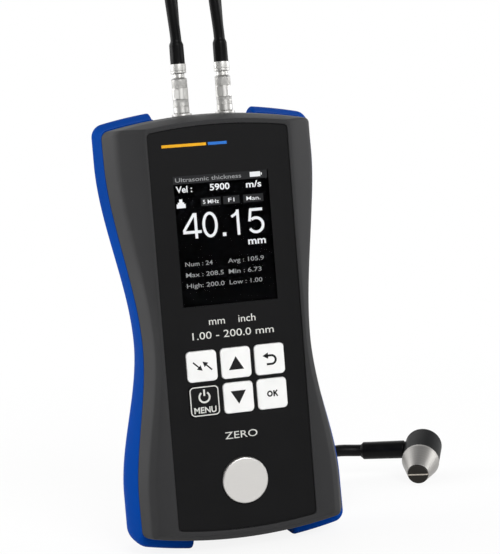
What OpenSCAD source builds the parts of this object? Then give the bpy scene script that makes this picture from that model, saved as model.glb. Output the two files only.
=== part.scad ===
// Handheld ultrasonic thickness gauge with a dual-element probe on a twin-lead cable.
// Millimetres, +Z up. The gauge stands on its lower end and its front faces -Y.
// The origin lies on the standing plane, under the middle of the housing.

/* [Housing] */
// Depth from the front rim to the back of the bumpers
body_d = 40; // [38:0.5:46]
// Height of the middle of the crowned top above the standing plane
crown_z = 184; // [180:0.2:192]
// Height of the middle of the crowned lower end above the standing plane
sole_z = 3.8; // [3:0.1:4.5]
// Half width of the front shell at the top, on the parting line
top_half = 45.4; // [43:0.2:48]
// Half width of the front shell at the waist, on the parting line
waist_half = 36.3; // [35.4:0.1:39]
// Half width of the front shell at the lower end, on the parting line
foot_half = 44; // [42.5:0.1:47]
// Height of the waist
waist_z = 88; // [84:0.5:96]
// Length over which the sides sweep from the waist out to the lower end
foot_sweep = 64; // [50:1:68]
// Length over which the sides sweep from the waist out to the top
top_sweep = 78; // [64:1:82]
// Radius of the crowned ends
crown_r = 200; // [150:5:300]
// Radius of the housing's corners
corner_r = 3.4; // [2:0.1:5]
// Depth of the parting line behind the front rim, at the standing plane
part_depth = 8.2; // [7:0.1:10]
// Rise of the parting line's depth per millimetre of height
part_slope = 0.069; // [0.05:0.001:0.075]
// Width of the front shell's skirt behind the parting line
skirt = 8; // [7.4:0.1:10]
// Wall thickness of both shells
wall = 2.2; // [1.8:0.1:2.6]
// Thickness of the front shell's front wall
front_wall = 3.5; // [3.2:0.1:4.2]
// Depth of the front edge's crease behind the front rim, at the waist and below
edge_d = 2.4; // [2:0.1:3]
// How much deeper the crease lies at the top than at the waist
crease_rise = 5.4; // [4:0.1:6]
// Distance of the case screws from the middle plane
post_x = 30.6; // [30.2:0.1:31.4]
// Height of the lower and the upper case screws
post_z = [20.6, 168.6]; // [12:0.2:176]

/* [Bumpers] */
// Depth of the bumpers' seat in the housing
seat_t = 2.4; // [2:0.1:3]
// How far the bumpers bulge past the front shell at the top
bulge_top = 2.4; // [1.6:0.1:4]
// How far the bumpers bulge past the front shell at the waist
bulge_waist = 1.1; // [0.8:0.1:2]
// How far the bumpers bulge past the front shell at the lower end
bulge_foot = 3.4; // [2.5:0.1:4.5]
// Height of the bumpers' top tabs above the housing
tab_h = 3.6; // [1.5:0.1:4]
// Distance of the tabs' ends from the middle plane
tab_x = 22.2; // [20:0.1:25]
// How far the bumpers stand behind the back shell's plate
back_proud = 1.5; // [1:0.1:2]

/* [Front panel] */
// Width of the front overlay
overlay_w = 59.6; // [56:0.2:60.6]
// Margin between the crowned ends and the overlay
overlay_margin = 5.4; // [5:0.1:7]
// Thickness of the overlay
overlay_t = 0.5; // [0.4:0.05:0.7]
// Depth of the overlay's face behind the front rim
overlay_recess = 0.8; // [0.5:0.05:1]
// Width of the display's visible area
display_w = 40.7; // [36:0.1:42]
// Height of the display's visible area
display_h = 54.3; // [48:0.1:55]
// Height of the display's centre
display_z = 131.2; // [129.6:0.1:132.6]
// Thickness of the display lens
lens_t = 1; // [0.8:0.05:1.1]
// Thickness of the foam gasket between the front wall and the display
gasket_t = 1.3; // [1:0.05:2]
// Thickness of the display module
lcd_t = 5; // [4.4:0.1:6]
// Thickness of the main board
board_t = 1.6; // [1:0.1:2]

/* [Keys] */
// Side of a key
key_w = 12.9; // [11:0.1:13.2]
// Distance from key to key
key_pitch = 14.6; // [14.5:0.1:15]
// Height of the lower row of keys
key_z = 64.5; // [63.6:0.1:65.6]
// Corner radius of a key
key_r = 1.8; // [1:0.1:3]
// How far a key stands in front of the overlay
key_proud = 0.6; // [0.5:0.05:0.7]
// Travel of a key
key_travel = 0.5; // [0.3:0.05:0.6]
// Clearance round a key
key_gap = 0.2; // [0.15:0.01:0.3]

/* [Zero disc] */
// Diameter of the steel zero disc
disc_d = 19.6; // [16:0.1:21]
// Thickness of the zero disc
disc_t = 6.2; // [5.8:0.1:7]
// How far the zero disc stands in front of the overlay
disc_proud = 1.6; // [1:0.1:2]
// Height of the zero disc's centre
disc_z = 29.5; // [28.6:0.1:30.6]

/* [Sockets and plugs] */
// Distance of each coaxial socket from the middle plane
socket_x = 9.5; // [9:0.1:11]
// Distance of the sockets' axes in front of the edge of the front shell's skirt
socket_set = 5.6; // [5.5:0.05:6.2]
// Diameter of the socket's threaded body
socket_d = 6.9; // [6.6:0.1:7.2]
// Diameter of the socket's outer collar
collar_d = 8.6; // [8:0.1:9]
// Height of the socket's outer collar
collar_h = 1.4; // [1:0.1:2]
// Diameter of the plug's push-pull sleeve
sleeve_d = 6.8; // [6.4:0.1:7.4]
// Length of the plug's push-pull sleeve
sleeve_l = 15.2; // [14:0.1:17]
// Travel of the push-pull sleeve
sleeve_travel = 1.2; // [0.8:0.1:1.4]
// Diameter of the plug's core
core_d = 4.9; // [4.6:0.05:5]
// Diameter of the collet nut
collet_d = 6.7; // [6.2:0.1:7.4]
// Length of the collet nut
collet_l = 3.9; // [3:0.1:5]
// Diameter of the lead's boot at the collet nut
boot_d = 6.2; // [5.8:0.1:6.6]
// Length of the lead's boot
boot_l = 10; // [8:0.5:14]

/* [Cable] */
// Diameter of the two leads
lead_d = 4.7; // [4.2:0.1:4.8]
// Diameter of the probe cable
cable_d = 5.9; // [5.4:0.1:6.1]
// Mean radius of the coil
coil_r = 25; // [22:0.5:27]
// Width and height of the coil's bundle
coil_w = 11.8; // [10.8:0.2:12.8]
// Width of the band that ties the coil
tie_w = 6; // [4:0.5:10]

/* [Probe] */
// Diameter of the probe's plastic cap
cap_d = 18.2; // [17:0.1:18.4]
// Length of the probe's plastic cap
cap_l = 17.6; // [16:0.2:20]
// Large diameter of the steel ferrule
ferrule_d = 18.4; // [17.4:0.1:18.8]
// Length of the steel ferrule's cone
cone_l = 11.6; // [10.5:0.1:13]
// Diameter of the probe's contact face
tip_d = 9.8; // [9:0.1:10.4]
// How far the contact face stands out of the ferrule
tip_out = 0.9; // [0.5:0.1:1.5]
// Thickness of the acoustic barrier between the delay lines
barrier_t = 0.7; // [0.5:0.05:1]
// Diameter of the probe's cable boot
probe_boot_d = 8.9; // [8.2:0.1:9.4]
// Length of the probe's cable boot outside the cap
probe_boot_l = 22; // [18:0.5:26]

/* [Hidden] */
$fn = 48;

// Clearances
fit = 0.15;        // between parts that are clipped, glued or screwed together
running = 0.07;    // radial, between a sleeve and the core it slides on
seat_gap = 0.2;    // between a key's flange and the wall behind which it rests
tab_gap = 0.3;     // between a bumper's tab and the housing beside it
eps = 0.01;

// Planes across the depth, from the front to the back
y_rim = -body_d/2;
y_overlay = y_rim + overlay_recess;
y_pocket = y_overlay + overlay_t;
y_wall = y_rim + front_wall;
y_lcd = y_wall + gasket_t;
y_board = y_lcd + lcd_t;
y_back = body_d/2;
y_plate = y_back - back_proud;
y_inner = y_plate - wall;
back_roll = 6;     // depth of the rounded back edge

function part_y(z) = y_rim + part_depth + part_slope*z;
function split_y(z) = part_y(z) + skirt;
function sag(x) = crown_r - sqrt(crown_r*crown_r - x*x);
function crease_y(z) = y_rim + edge_d + crease_rise*ease((z - waist_z)/top_sweep);
function ease(t) = let (c = min(max(t, 0), 1)) c*c*(3 - 2*c);

// A section is [foot, waist and top half width, low and high end, low and high middle end].
// The last two hold between the bumpers' tabs.
grey = [foot_half, waist_half, top_half, sole_z, crown_z, sole_z, crown_z];
function inset(s, f, w, t, e) = s + [-f, -w, -t, e, -e, e, -e];
rim = inset(grey, 6, 5.1, 14.6, 3.4);
crease = inset(grey, 2.8, 2.5, 3.6, 0.9);
core = inset(grey, seat_t, seat_t, seat_t, seat_t) + [0, 0, 0, 0, 0, 0.3 - seat_t, seat_t - 0.3];
cavity = inset(grey, seat_t + wall, seat_t + wall, seat_t + wall, seat_t + wall);
front_cavity = cavity + [-0.4, -0.5, -8.4, 0, 0, 0, 0];

// Half outline of a section, from the middle of the lower end up to the middle of the top
mid_n = 3; tab_n = 3; corner_n = 5; side_n = 18;
function side_x(s, z) = z < waist_z
    ? s[1] + (s[0] - s[1])*(1 - ease(1 - (waist_z - z)/foot_sweep))
    : s[1] + (s[2] - s[1])*ease((z - waist_z)/top_sweep);
function half_outline(s) = let (
        q = crown_r, r = max(2, corner_r + s[0] - foot_half), e = max(2, corner_r + s[2] - top_half),
        bx = s[0] - r, bz = s[3] + q - sqrt(pow(q - r, 2) - bx*bx), ba = atan2(bz - s[3] - q, bx),
        tx = s[2] - e, tz = s[4] - q + sqrt(pow(q - e, 2) - tx*tx), ta = atan2(tz - s[4] + q, tx),
        low = bx + r*cos(ba), high = tx + e*cos(ta))
    concat(
        [for (i = [0:mid_n]) let (x = (tab_x - tab_gap)*i/mid_n) [x, s[5] + sag(x)]],
        [for (i = [0:tab_n]) let (x = tab_x + (low - tab_x)*i/tab_n) [x, s[3] + sag(x)]],
        [for (i = [1:corner_n]) let (a = ba*(1 - i/corner_n)) [bx + r*cos(a), bz + r*sin(a)]],
        [for (i = [1:side_n - 1]) let (z = bz + (tz - bz)*i/side_n) [side_x(s, z), z]],
        [for (i = [0:corner_n - 1]) let (a = ta*i/corner_n) [tx + e*cos(a), tz + e*sin(a)]],
        [for (i = [0:tab_n]) let (x = high + (tab_x - high)*i/tab_n) [x, s[4] - sag(x)]],
        [for (i = [0:mid_n]) let (x = (tab_x - tab_gap)*(1 - i/mid_n)) [x, s[6] - sag(x)]]);
function whole(h) = concat(h, [for (i = [len(h) - 2:-1:1]) [-h[i][0], h[i][1]]]);

// Rings of points: a section at a fixed depth, on the parting plane, or blended to the back
function ring_at(h, y) = [for (p = h) [p[0], y, p[1]]];
function ring_crease(h, t, d) = [for (p = h) [p[0], y_rim + (crease_y(p[1]) - y_rim)*pow(t, 1.15) + d, p[1]]];
function ring_part(h, d) = [for (p = h) [p[0], part_y(p[1]) + d, p[1]]];
function ring_mix(h, u) = [for (p = h) [p[0], (part_y(p[1]) + fit)*(1 - u) + y_back*u, p[1]]];

// Solid through a stack of closed rings, capped at both ends
module loft(rings) {
    n = len(rings[0]); m = len(rings);
    polyhedron([for (r = rings) each r], concat(
        [[for (i = [n - 1:-1:0]) i]],
        [for (j = [0:m - 2], i = [0:n - 1]) let (k = (i + 1)%n) each
            [[j*n + i, j*n + k, (j + 1)*n + k], [j*n + i, (j + 1)*n + k, (j + 1)*n + i]]],
        [[for (i = [0:n - 1]) (m - 1)*n + i]]), convexity = 10);
}

// Solid of a closed profile carried along an open path; each strip is one point of the profile
module strip_solid(strips) {
    n = len(strips[0]); m = len(strips);
    polyhedron([for (s = strips) each s], concat(
        [[for (j = [0:m - 1]) j*n]],
        [for (j = [0:m - 1], i = [0:n - 2]) let (k = (j + 1)%m) each
            [[j*n + i, j*n + i + 1, k*n + i + 1], [j*n + i, k*n + i + 1, k*n + i]]],
        [[for (j = [m - 1:-1:0]) j*n + n - 1]]), convexity = 10);
}

// Turned piece along +Y from y to y + l, at a point of the front
module turned_y(x, z, y, d, l) {
    translate([x, y, z]) rotate([-90, 0, 0]) cylinder(d = d, h = l);
}

// Rounded square of true arcs, extruded along +Y
module key_block(x, z, y, w, r, l) {
    translate([x, y + l, z]) rotate([90, 0, 0]) linear_extrude(l) {
        square([w, w - 2*r], center = true);
        square([w - 2*r, w], center = true);
        for (i = [-1, 1], j = [-1, 1]) translate([i*(w/2 - r), j*(w/2 - r)]) circle(r);
    }
}

// Block centred in X and Z, running along +Y
module block_y(w, h, z, y, l) {
    translate([-w/2, y, z - h/2]) cube([w, l, h]);
}

// Outline of the overlay: straight sides and crowned ends
overlay_r = 1.7;
function overlay_half(g) = let (
        w = overlay_w/2 + g, r = overlay_r + g, q = crown_r, x = w - r,
        b = sole_z + overlay_margin - g, t = crown_z - overlay_margin + g,
        bz = b + q - sqrt(pow(q - r, 2) - x*x), tz = t - q + sqrt(pow(q - r, 2) - x*x),
        ba = atan2(bz - b - q, x), ta = atan2(tz - t + q, x))
    concat(
        [for (i = [0:4]) let (v = (x + r*cos(ba))*i/5) [v, b + sag(v)]],
        [for (i = [0:4]) let (a = ba*(1 - i/4)) [x + r*cos(a), bz + r*sin(a)]],
        [for (i = [0:4]) let (a = ta*i/4) [x + r*cos(a), tz + r*sin(a)]],
        [for (i = [1:5]) let (v = (x + r*cos(ta))*(1 - i/5)) [v, t - sag(v)]]);
module overlay_plate(g, y, l) {
    translate([0, y + l, 0]) rotate([90, 0, 0]) linear_extrude(l) polygon(whole(overlay_half(g)));
}

// Places of the six keys, from the left: upper row, then lower row
key_at = [for (r = [1, 0], c = [-1, 0, 1]) [c*key_pitch, key_z + r*key_pitch]];

// Places of the case screws and of the board's screws
post_at = [for (s = [-1, 1], z = post_z) [s*post_x, z]];
post_r = 3.4;
screw_d = 2.4;
head_d = 5;
head_h = 2;
head_depth = 3;
board_w = 52.4;
board_low = sole_z + seat_t + wall + sag(board_w/2) + 0.6;
lcd_side = 4.5;    // frame of the display module beside its glass
lcd_end = 6.5;     // frame of the display module above and below its glass
board_high = display_z + display_h/2 + 2*lcd_end;
board_edge = 2.6;  // from the upper screws to the board's end
board_screw_x = [22.6, 21];
board_screw_z = disc_z + disc_d/2 + 8.3;
board_bite = 4;    // length of the board's screws in their bosses
board_at = [for (s = [-1, 1]) each [[s*board_screw_x[0], board_high - board_edge], [s*board_screw_x[1], board_screw_z]]];
boss_r = 2.3;
pilot_d = 1.8;

// The zero disc's cup behind the front wall
cup_y = y_overlay - disc_proud + disc_t;
cup_floor = 1.6;
cup_wall = 2.4;

// The sockets' seats in the crowned top
socket_y = split_y(crown_z) - socket_set;
spot_z = crown_z - sag(socket_x) - 0.6;
nut_z = crown_z - seat_t - wall;
plug_z = spot_z + collar_h + 0.2;
nut_af = 9;
nut_h = 2.2;
bore_d = core_d + 2*fit;

// The board's charging socket, in the lower end
port_w = 9;
port_t = 3.3;
port_y = y_board + board_t + port_t/2;
port_l = 8;        // length of the charging socket
port_wall = 0.4;   // its shell

module front_shell() color([0.26, 0.27, 0.28]) difference() {
    union() {
        loft(concat(
            [for (t = [0:0.25:1]) ring_crease(whole(half_outline(rim + (crease - rim)*t)), t, 0)],
            [ring_part(whole(half_outline(grey)), 0),
             ring_part(whole(half_outline(core)), 0),
             ring_part(whole(half_outline(core)), skirt),
             ring_part(whole(half_outline(cavity)), skirt),
             ring_crease(whole(half_outline(cavity)), 1, 4.5),
             ring_at(whole(half_outline(front_cavity)), y_wall)]));
        for (p = post_at) turned_y(p[0], p[1], y_wall - 1, 2*post_r, split_y(p[1]) - y_wall + 1);
        for (p = board_at) turned_y(p[0], p[1], y_wall - 1, 2*boss_r, y_board - y_wall + 1);
        turned_y(0, disc_z, y_wall - 1, disc_d + 2*cup_wall, cup_y + cup_floor - y_wall + 1);
    }
    overlay_plate(fit, y_rim - 1, overlay_recess + overlay_t + 1);
    block_y(display_w + 5 + 2*fit, display_h + 5 + 2*fit, display_z, y_rim, y_pocket + lens_t - y_rim);
    block_y(display_w + 1, display_h + 1, display_z, y_rim, front_wall + 1);
    for (p = key_at) key_block(p[0], p[1], y_rim, key_w + 2*key_gap, key_r + key_gap, front_wall + 1);
    turned_y(0, disc_z, y_rim - 1, disc_d + 2*fit, cup_y - y_rim + 1);
    for (p = post_at) turned_y(p[0], p[1], split_y(p[1]) - 10, screw_d + 0.1, 11);
    for (p = board_at) turned_y(p[0], p[1], y_board - board_bite - 0.5, pilot_d + 0.1, board_bite + 2);
    for (s = [-1, 1]) translate([s*socket_x, socket_y, 0]) {
        translate([0, 0, nut_z - 2]) cylinder(d = socket_d + 2*fit, h = 10);
        translate([0, 0, spot_z]) cylinder(d = collar_d + 2*fit, h = 5);
        translate([0, 0, nut_z - 4]) cylinder(d = nut_af/cos(30) + 1, h = 4);
    }
    translate([-port_w/2 - 0.3, port_y - port_t/2 - 0.3, -1]) cube([port_w + 0.6, port_t + 0.6, board_low + 3]);
}

module back_shell() color([0.24, 0.25, 0.26]) difference() {
    union() {
        loft([ring_at(whole(half_outline(cavity)), y_inner),
              ring_part(whole(half_outline(cavity)), skirt),
              ring_part(whole(half_outline(core)), skirt),
              ring_at(whole(half_outline(core)), y_plate - back_roll),
              ring_at(whole(half_outline(inset(core, 0.6, 0.6, 0.6, 0.6))), y_plate - 3),
              ring_at(whole(half_outline(inset(core, 2.2, 2.2, 2.2, 2.2))), y_plate - 0.9),
              ring_at(whole(half_outline(inset(core, 4.6, 4.6, 4.6, 4.6))), y_plate)]);
        for (p = post_at) turned_y(p[0], p[1], split_y(p[1]), 2*post_r, y_plate - split_y(p[1]) - 0.5);
        sole_land();
        for (s = [-1, 1]) translate([s*(pack_w/2 + 0.9) - 0.6, y_inner - 6, pack_z - pack_h/2]) cube([1.2, 6.5, pack_h]);
        for (s = [-1, 1]) translate([-12, y_inner - 6, pack_z + s*(pack_h/2 + 0.9) - 0.6]) cube([24, 6.5, 1.2]);
    }
    for (p = post_at) {
        turned_y(p[0], p[1], split_y(p[1]) - 1, screw_d + 0.4, body_d);
        turned_y(p[0], p[1], y_plate - head_depth, head_d + 0.4, 10);
    }
}

// Land between the lower tabs, on which the gauge stands: a bar at the back and a rib beside each tab
module sole_land() {
    low = split_y(sole_z + 3) + fit;
    high = y_plate - back_roll;
    w = tab_x - tab_gap;
    translate([-w, high - 2.7, 0]) cube([2*w, 2.7, sole_z + 2]);
    for (s = [-1, 1]) translate([s*(w - 0.6) - 0.6, low, 0]) cube([1.2, high - low, sole_z + 3]);
}

pack_w = 46;
pack_h = 64;
pack_t = 9;
pack_z = 89.6;

// The bumpers' sections, from the front lip over the ridge to the back edge
lip = inset(grey, -0.1, -0.1, -0.1, -0.5);
ridge = grey + [bulge_foot, bulge_waist, bulge_top, -sole_z - sag(tab_x), tab_h, 0, 0];
heel = inset(ridge, 5.5, 5, 5.5, 4.5);
window = inset(core, 9, 9, 9, 9);
// The bumpers swell from lip to ridge over the front half of their width and roll in to the heel over the back half
function swell(u, p) = 1 - pow(1 - 2*u, p);
function roll(u) = 1 - pow(1 - pow(2*u - 1, 1.8), 0.55);
// The top tabs rise later, from the lip to their full height behind the middle
function risen(s, u) = [for (i = [0:6]) i != 4 ? s[i] :
    lip[4] + (ridge[4] - lip[4])*ease((u - 0.06)/0.5) - (u > 0.5 ? (ridge[4] - heel[4])*roll(u) : 0)];
function mix(a, b, w) = [for (i = [0:6]) a[i] + (b[i] - a[i])*w[i]];
function tab_part(h) = [for (i = [mid_n + 1:len(h) - mid_n - 2]) h[i]];
function bumper_strip(s) = tab_part(half_outline(s));
module bumper() {
    strip_solid(concat(
        [for (u = [0, 0.05, 0.14, 0.3, 0.4, 0.5]) ring_mix(bumper_strip(risen(mix(lip, ridge,
            [swell(u, 1.8), swell(u, 2.6), swell(u, 1), swell(u, 6), 0, 0, 0]), u)), u)],
        [for (u = [0.6, 0.72, 0.88, 0.97, 1]) ring_mix(bumper_strip(risen(ridge + (heel - ridge)*roll(u), u)), u)],
        [ring_at(bumper_strip(window), y_back),
         ring_at(bumper_strip(window), y_plate + fit),
         ring_at(bumper_strip(inset(core, 4.6 - fit, 4.6 - fit, 4.6 - fit, 4.6 - fit)), y_plate + fit),
         ring_at(bumper_strip(inset(core, 2.2 - fit, 2.2 - fit, 2.2 - fit, 2.2 - fit)), y_plate - 0.9 + fit),
         ring_at(bumper_strip(inset(core, 0.6 - fit, 0.6 - fit, 0.6 - fit, 0.6 - fit)), y_plate - 3),
         ring_at(bumper_strip(inset(core, -fit, -fit, -fit, -fit)), y_plate - back_roll),
         ring_part(bumper_strip(inset(core, -fit, -fit, -fit, -fit)), fit)]));
}
module right_bumper() color([0.05, 0.22, 0.62]) bumper();
module left_bumper() color([0.05, 0.22, 0.62]) mirror([1, 0, 0]) bumper();

module case_screws() color([0.7, 0.7, 0.72]) for (p = post_at) {
    turned_y(p[0], p[1], split_y(p[1]) - 9, screw_d, y_plate - head_depth - split_y(p[1]) + 9.5);
    difference() {
        turned_y(p[0], p[1], y_plate - head_depth, head_d, head_h);
        for (a = [0, 90]) translate([p[0], y_plate - head_depth + head_h, p[1]]) rotate([0, a, 0])
            cube([3, 2, 0.7], center = true);
    }
}

module front_overlay() color([0.09, 0.09, 0.1]) difference() {
    overlay_plate(0, y_overlay, overlay_t);
    block_y(display_w, display_h, display_z, y_overlay - 1, overlay_t + 2);
    for (p = key_at) key_block(p[0], p[1], y_overlay - 1, key_w + 2*key_gap, key_r + key_gap, overlay_t + 2);
    turned_y(0, disc_z, y_overlay - 1, disc_d + 2*fit, overlay_t + 2);
}

module display_lens() color([0.2, 0.22, 0.24, 0.5])
    block_y(display_w + 5, display_h + 5, display_z, y_pocket, lens_t);

module display_gasket() color([0.12, 0.12, 0.12]) difference() {
    block_y(display_w + 8, display_h + 8, display_z, y_wall, gasket_t);
    block_y(display_w + 2, display_h + 2, display_z, y_wall - 1, gasket_t + 2);
}

// Display module: its glass reaches through the gasket and the window, up to the lens
module lcd_module() color([0.05, 0.05, 0.06]) {
    block_y(display_w + 2*lcd_side, display_h + 2*lcd_end, display_z, y_lcd, lcd_t);
    block_y(display_w + 1 - 2*tab_gap, display_h + 1 - 2*tab_gap, display_z, y_pocket + lens_t + fit, y_lcd - y_pocket - lens_t);
}

module main_board() color([0.05, 0.35, 0.2]) difference() {
    translate([-board_w/2, y_board, board_low]) cube([board_w, board_t, board_high - board_low]);
    for (p = board_at) turned_y(p[0], p[1], y_board - 1, pilot_d + 0.3, board_t + 2);
}

module board_screws() color([0.75, 0.75, 0.76]) for (p = board_at) {
    turned_y(p[0], p[1], y_board - board_bite, pilot_d, board_t + board_bite + 0.5);
    turned_y(p[0], p[1], y_board + board_t, 2*pilot_d, 1.3);
}

module battery_pack() color([0.2, 0.35, 0.6])
    translate([-pack_w/2, y_inner - pack_t, pack_z - pack_h/2]) cube([pack_w, pack_t, pack_h]);

module charge_socket() color([0.72, 0.73, 0.75]) difference() {
    translate([-port_w/2, y_board + board_t, sole_z + 1]) cube([port_w, port_t, port_l]);
    translate([-port_w/2 + port_wall, y_board + board_t + port_wall, sole_z]) cube([port_w - 2*port_wall, port_t - 2*port_wall, port_l - 2]);
}

// Silicone mat with one dome under each key
mat_t = 1;
flange_t = 0.8;
y_flange = y_wall + seat_gap + flange_t;
module keypad_mat() color([0.75, 0.75, 0.72]) {
    block_y(3*key_pitch, 2*key_pitch, key_z + key_pitch/2, y_board - mat_t, mat_t);
    for (p = key_at) translate([p[0], y_board - mat_t + eps, p[1]]) rotate([90, 0, 0])
        cylinder(d1 = 9, d2 = 5, h = y_board - mat_t - y_flange - key_travel - seat_gap);
}

// A key: its cap passes through the front wall, and a flange behind the wall holds it in
module key(i) {
    p = key_at[i];
    key_block(p[0], p[1], y_overlay - key_proud, key_w, key_r, y_flange - y_overlay + key_proud);
    key_block(p[0], p[1], y_wall + seat_gap, key_w + 1.2, key_r, flange_t);
}
module arrows_key() color([0.94, 0.94, 0.93]) key(0);
module up_key() color([0.94, 0.94, 0.93]) key(1);
module return_key() color([0.94, 0.94, 0.93]) key(2);
module menu_key() color([0.1, 0.1, 0.1]) key(3);
module down_key() color([0.94, 0.94, 0.93]) key(4);
module ok_key() color([0.94, 0.94, 0.93]) key(5);

disc_edge = 0.5;
module zero_disc() color([0.82, 0.82, 0.83]) translate([0, cup_y, disc_z]) rotate([90, 0, 0])
    rotate_extrude() polygon([[0, 0], [disc_d/2, 0], [disc_d/2, disc_t - disc_edge],
        [disc_d/2 - disc_edge*0.3, disc_t - disc_edge*0.3], [disc_d/2 - disc_edge, disc_t], [0, disc_t]]);

// Socket: a threaded tube with an outer collar, closed at its inner end
socket_low = nut_z - 6;
module socket(s) color([0.78, 0.78, 0.8]) translate([s*socket_x, socket_y, 0]) rotate_extrude()
    polygon([[0, socket_low], [socket_d/2, socket_low], [socket_d/2, spot_z], [collar_d/2, spot_z],
        [collar_d/2, spot_z + collar_h - 0.3], [collar_d/2 - 0.3, spot_z + collar_h], [bore_d/2, spot_z + collar_h],
        [bore_d/2, socket_low + 1], [0, socket_low + 1]]);
module left_socket() socket(-1);
module right_socket() socket(1);

module socket_nut(s) color([0.7, 0.7, 0.72]) translate([s*socket_x, socket_y, nut_z - nut_h]) difference() {
    cylinder(d = nut_af/cos(30), h = nut_h, $fn = 6);
    translate([0, 0, -1]) cylinder(d = socket_d + 0.1, h = nut_h + 2);
}
module left_socket_nut() socket_nut(-1);
module right_socket_nut() socket_nut(1);

// Plug, from its nose in the socket up to the lead's boot
sleeve_top = plug_z + sleeve_l;
neck_l = sleeve_travel + 0.6;
collet_z = sleeve_top + neck_l;
lead_z = collet_z + collet_l;
module plug_core(s) color([0.75, 0.75, 0.77]) translate([s*socket_x, socket_y, 0]) {
    translate([0, 0, socket_low + 1]) cylinder(d = core_d, h = lead_z - socket_low - 1);
}
module left_plug_core() plug_core(-1);
module right_plug_core() plug_core(1);

// Sleeve with two grip bands, a waist of four flats between them and a bevelled end
base_h = 2.6;
grip_low = 3.4;
grip_high = 3.9;
bevel_h = 0.7;
module plug_sleeve(s) color([0.8, 0.8, 0.82]) translate([s*socket_x, socket_y, plug_z]) difference() {
    rotate_extrude() polygon([[core_d/2 + running, 0], [sleeve_d/2 - 0.2, 0], [sleeve_d/2, 0.2], [sleeve_d/2, base_h],
        [sleeve_d/2 - 0.25, base_h + 0.2], [sleeve_d/2 - 0.25, base_h + grip_low - 0.2], [sleeve_d/2, base_h + grip_low],
        [sleeve_d/2, sleeve_l - grip_high - bevel_h], [sleeve_d/2 - 0.25, sleeve_l - grip_high - bevel_h + 0.2],
        [sleeve_d/2 - 0.25, sleeve_l - bevel_h - 0.2], [sleeve_d/2, sleeve_l - bevel_h],
        [sleeve_d/2 - bevel_h, sleeve_l], [core_d/2 + running, sleeve_l]]);
    for (a = [45:90:315]) rotate([0, 0, a]) translate([sleeve_d/2 - 0.3, -sleeve_d/2, base_h + grip_low + 0.3])
        cube([1, sleeve_d, sleeve_l - base_h - grip_low - grip_high - bevel_h - 0.6]);
}
module left_plug_sleeve() plug_sleeve(-1);
module right_plug_sleeve() plug_sleeve(1);

module collet_nut(s) color([0.78, 0.78, 0.8]) translate([s*socket_x, socket_y, collet_z]) rotate_extrude()
    polygon([[core_d/2 + 0.05, 0], [collet_d/2 - 0.3, 0], [collet_d/2, 0.3], [collet_d/2, collet_l - 0.3],
        [collet_d/2 - 0.3, collet_l], [core_d/2 + 0.05, collet_l]]);
module left_collet_nut() collet_nut(-1);
module right_collet_nut() collet_nut(1);

module plug_boot(s) color([0.06, 0.06, 0.06]) translate([s*socket_x, socket_y, lead_z]) rotate_extrude()
    polygon([[lead_d/2 + 0.05, 0], [boot_d/2, 0], [boot_d/2 - 0.1, boot_l - 1.5], [lead_d/2 + 0.35, boot_l], [lead_d/2 + 0.05, boot_l]]);
module left_plug_boot() plug_boot(-1);
module right_plug_boot() plug_boot(1);

// Cord: a smooth curve through chosen points, swept by a ring of even radius
function unit(v) = v/norm(v);
function spline(p, n) = concat(
    [for (i = [0:len(p) - 2], k = [0:n - 1]) let (
        a = p[max(i - 1, 0)], b = p[i], c = p[i + 1], d = p[min(i + 2, len(p) - 1)], t = k/n)
        0.5*(2*b + (c - a)*t + (2*a - 5*b + 4*c - d)*t*t + (3*b - a - 3*c + d)*t*t*t)], [p[len(p) - 1]]);
function heading(p, i) = unit(p[min(i + 1, len(p) - 1)] - p[max(i - 1, 0)]);
function across(u, t) = unit(u - (u*t)*t);
module cord(p, d, first) {
    n = 10; m = len(p);
    sides = [for (i = 0, u = across(first, heading(p, 0)); i < m; i = i + 1, u = i < m ? across(u, heading(p, i)) : u) u];
    ring = [for (i = [0:m - 1]) let (t = heading(p, i), u = sides[i], v = cross(t, u))
        [for (k = [0:n - 1]) p[i] + d/2*(cos(360*k/n)*u + sin(360*k/n)*v)]];
    polyhedron([for (r = ring) each r], concat(
        [[for (k = [0:n - 1]) k]],
        [for (j = [0:m - 2], k = [0:n - 1]) let (l = (k + 1)%n) each
            [[j*n + k, (j + 1)*n + l, j*n + l], [j*n + k, (j + 1)*n + k, (j + 1)*n + l]]],
        [[for (k = [n - 1:-1:0]) (m - 1)*n + k]]));
}

// Routes: both leads rise, arch back and fall to the splitter behind the gauge; the cable
// drops to the coil on the floor, and its tail runs on to the probe
left_route = [[-socket_x, socket_y, lead_z], [-9.5, 3.3, 217.4], [-10.8, 3.3, 239.6], [-8, 12.5, 262.2],
    [-2.7, 34.6, 271.6], [2, 56.7, 262.2], [4, 65.9, 239.6], [4, 65.9, 214], [4.3, 65.9, 190],
    [7.4, 65.8, 166], [11, 65.7, 148], [11.2, 65.7, 140]];
right_route = [[socket_x, socket_y, lead_z], [9.5, 3.3, 217.4], [8.2, 3.3, 239.6], [11.2, 12.4, 262.2],
    [17.1, 34.4, 271.6], [22.5, 56.3, 262.2], [24.7, 65.5, 239.6], [24.7, 65.5, 214], [24.4, 65.6, 190],
    [21.4, 65.7, 166], [17.8, 65.7, 148], [17.6, 65.7, 140]];
splitter_at = [14.4, 65.7, 114];
splitter_h = 26;
over_z = coil_w + cable_d/2 + 0.1;    // height of the cable where it crosses the coil
drop_route = [[14.4, 65.7, 114], [14.4, 65.7, 104], [14.5, 64, 82], [15, 58, 60], [16.5, 50, 40], [20, 43.5, over_z + 10], [27, 40.2, over_z + 1.9], [36, 41.4, over_z]];
coil_at = [28, 65];
tail_route = [[47.5, 49, over_z], [54, 58, over_z + 0.1], [57.8, 72, over_z + 0.1], [58.6, 87.2, 14.3], [60.7, 95.2, 13.8], [66.6, 101.1, 13.4], [74.6, 103.2, 13.1]];

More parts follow.
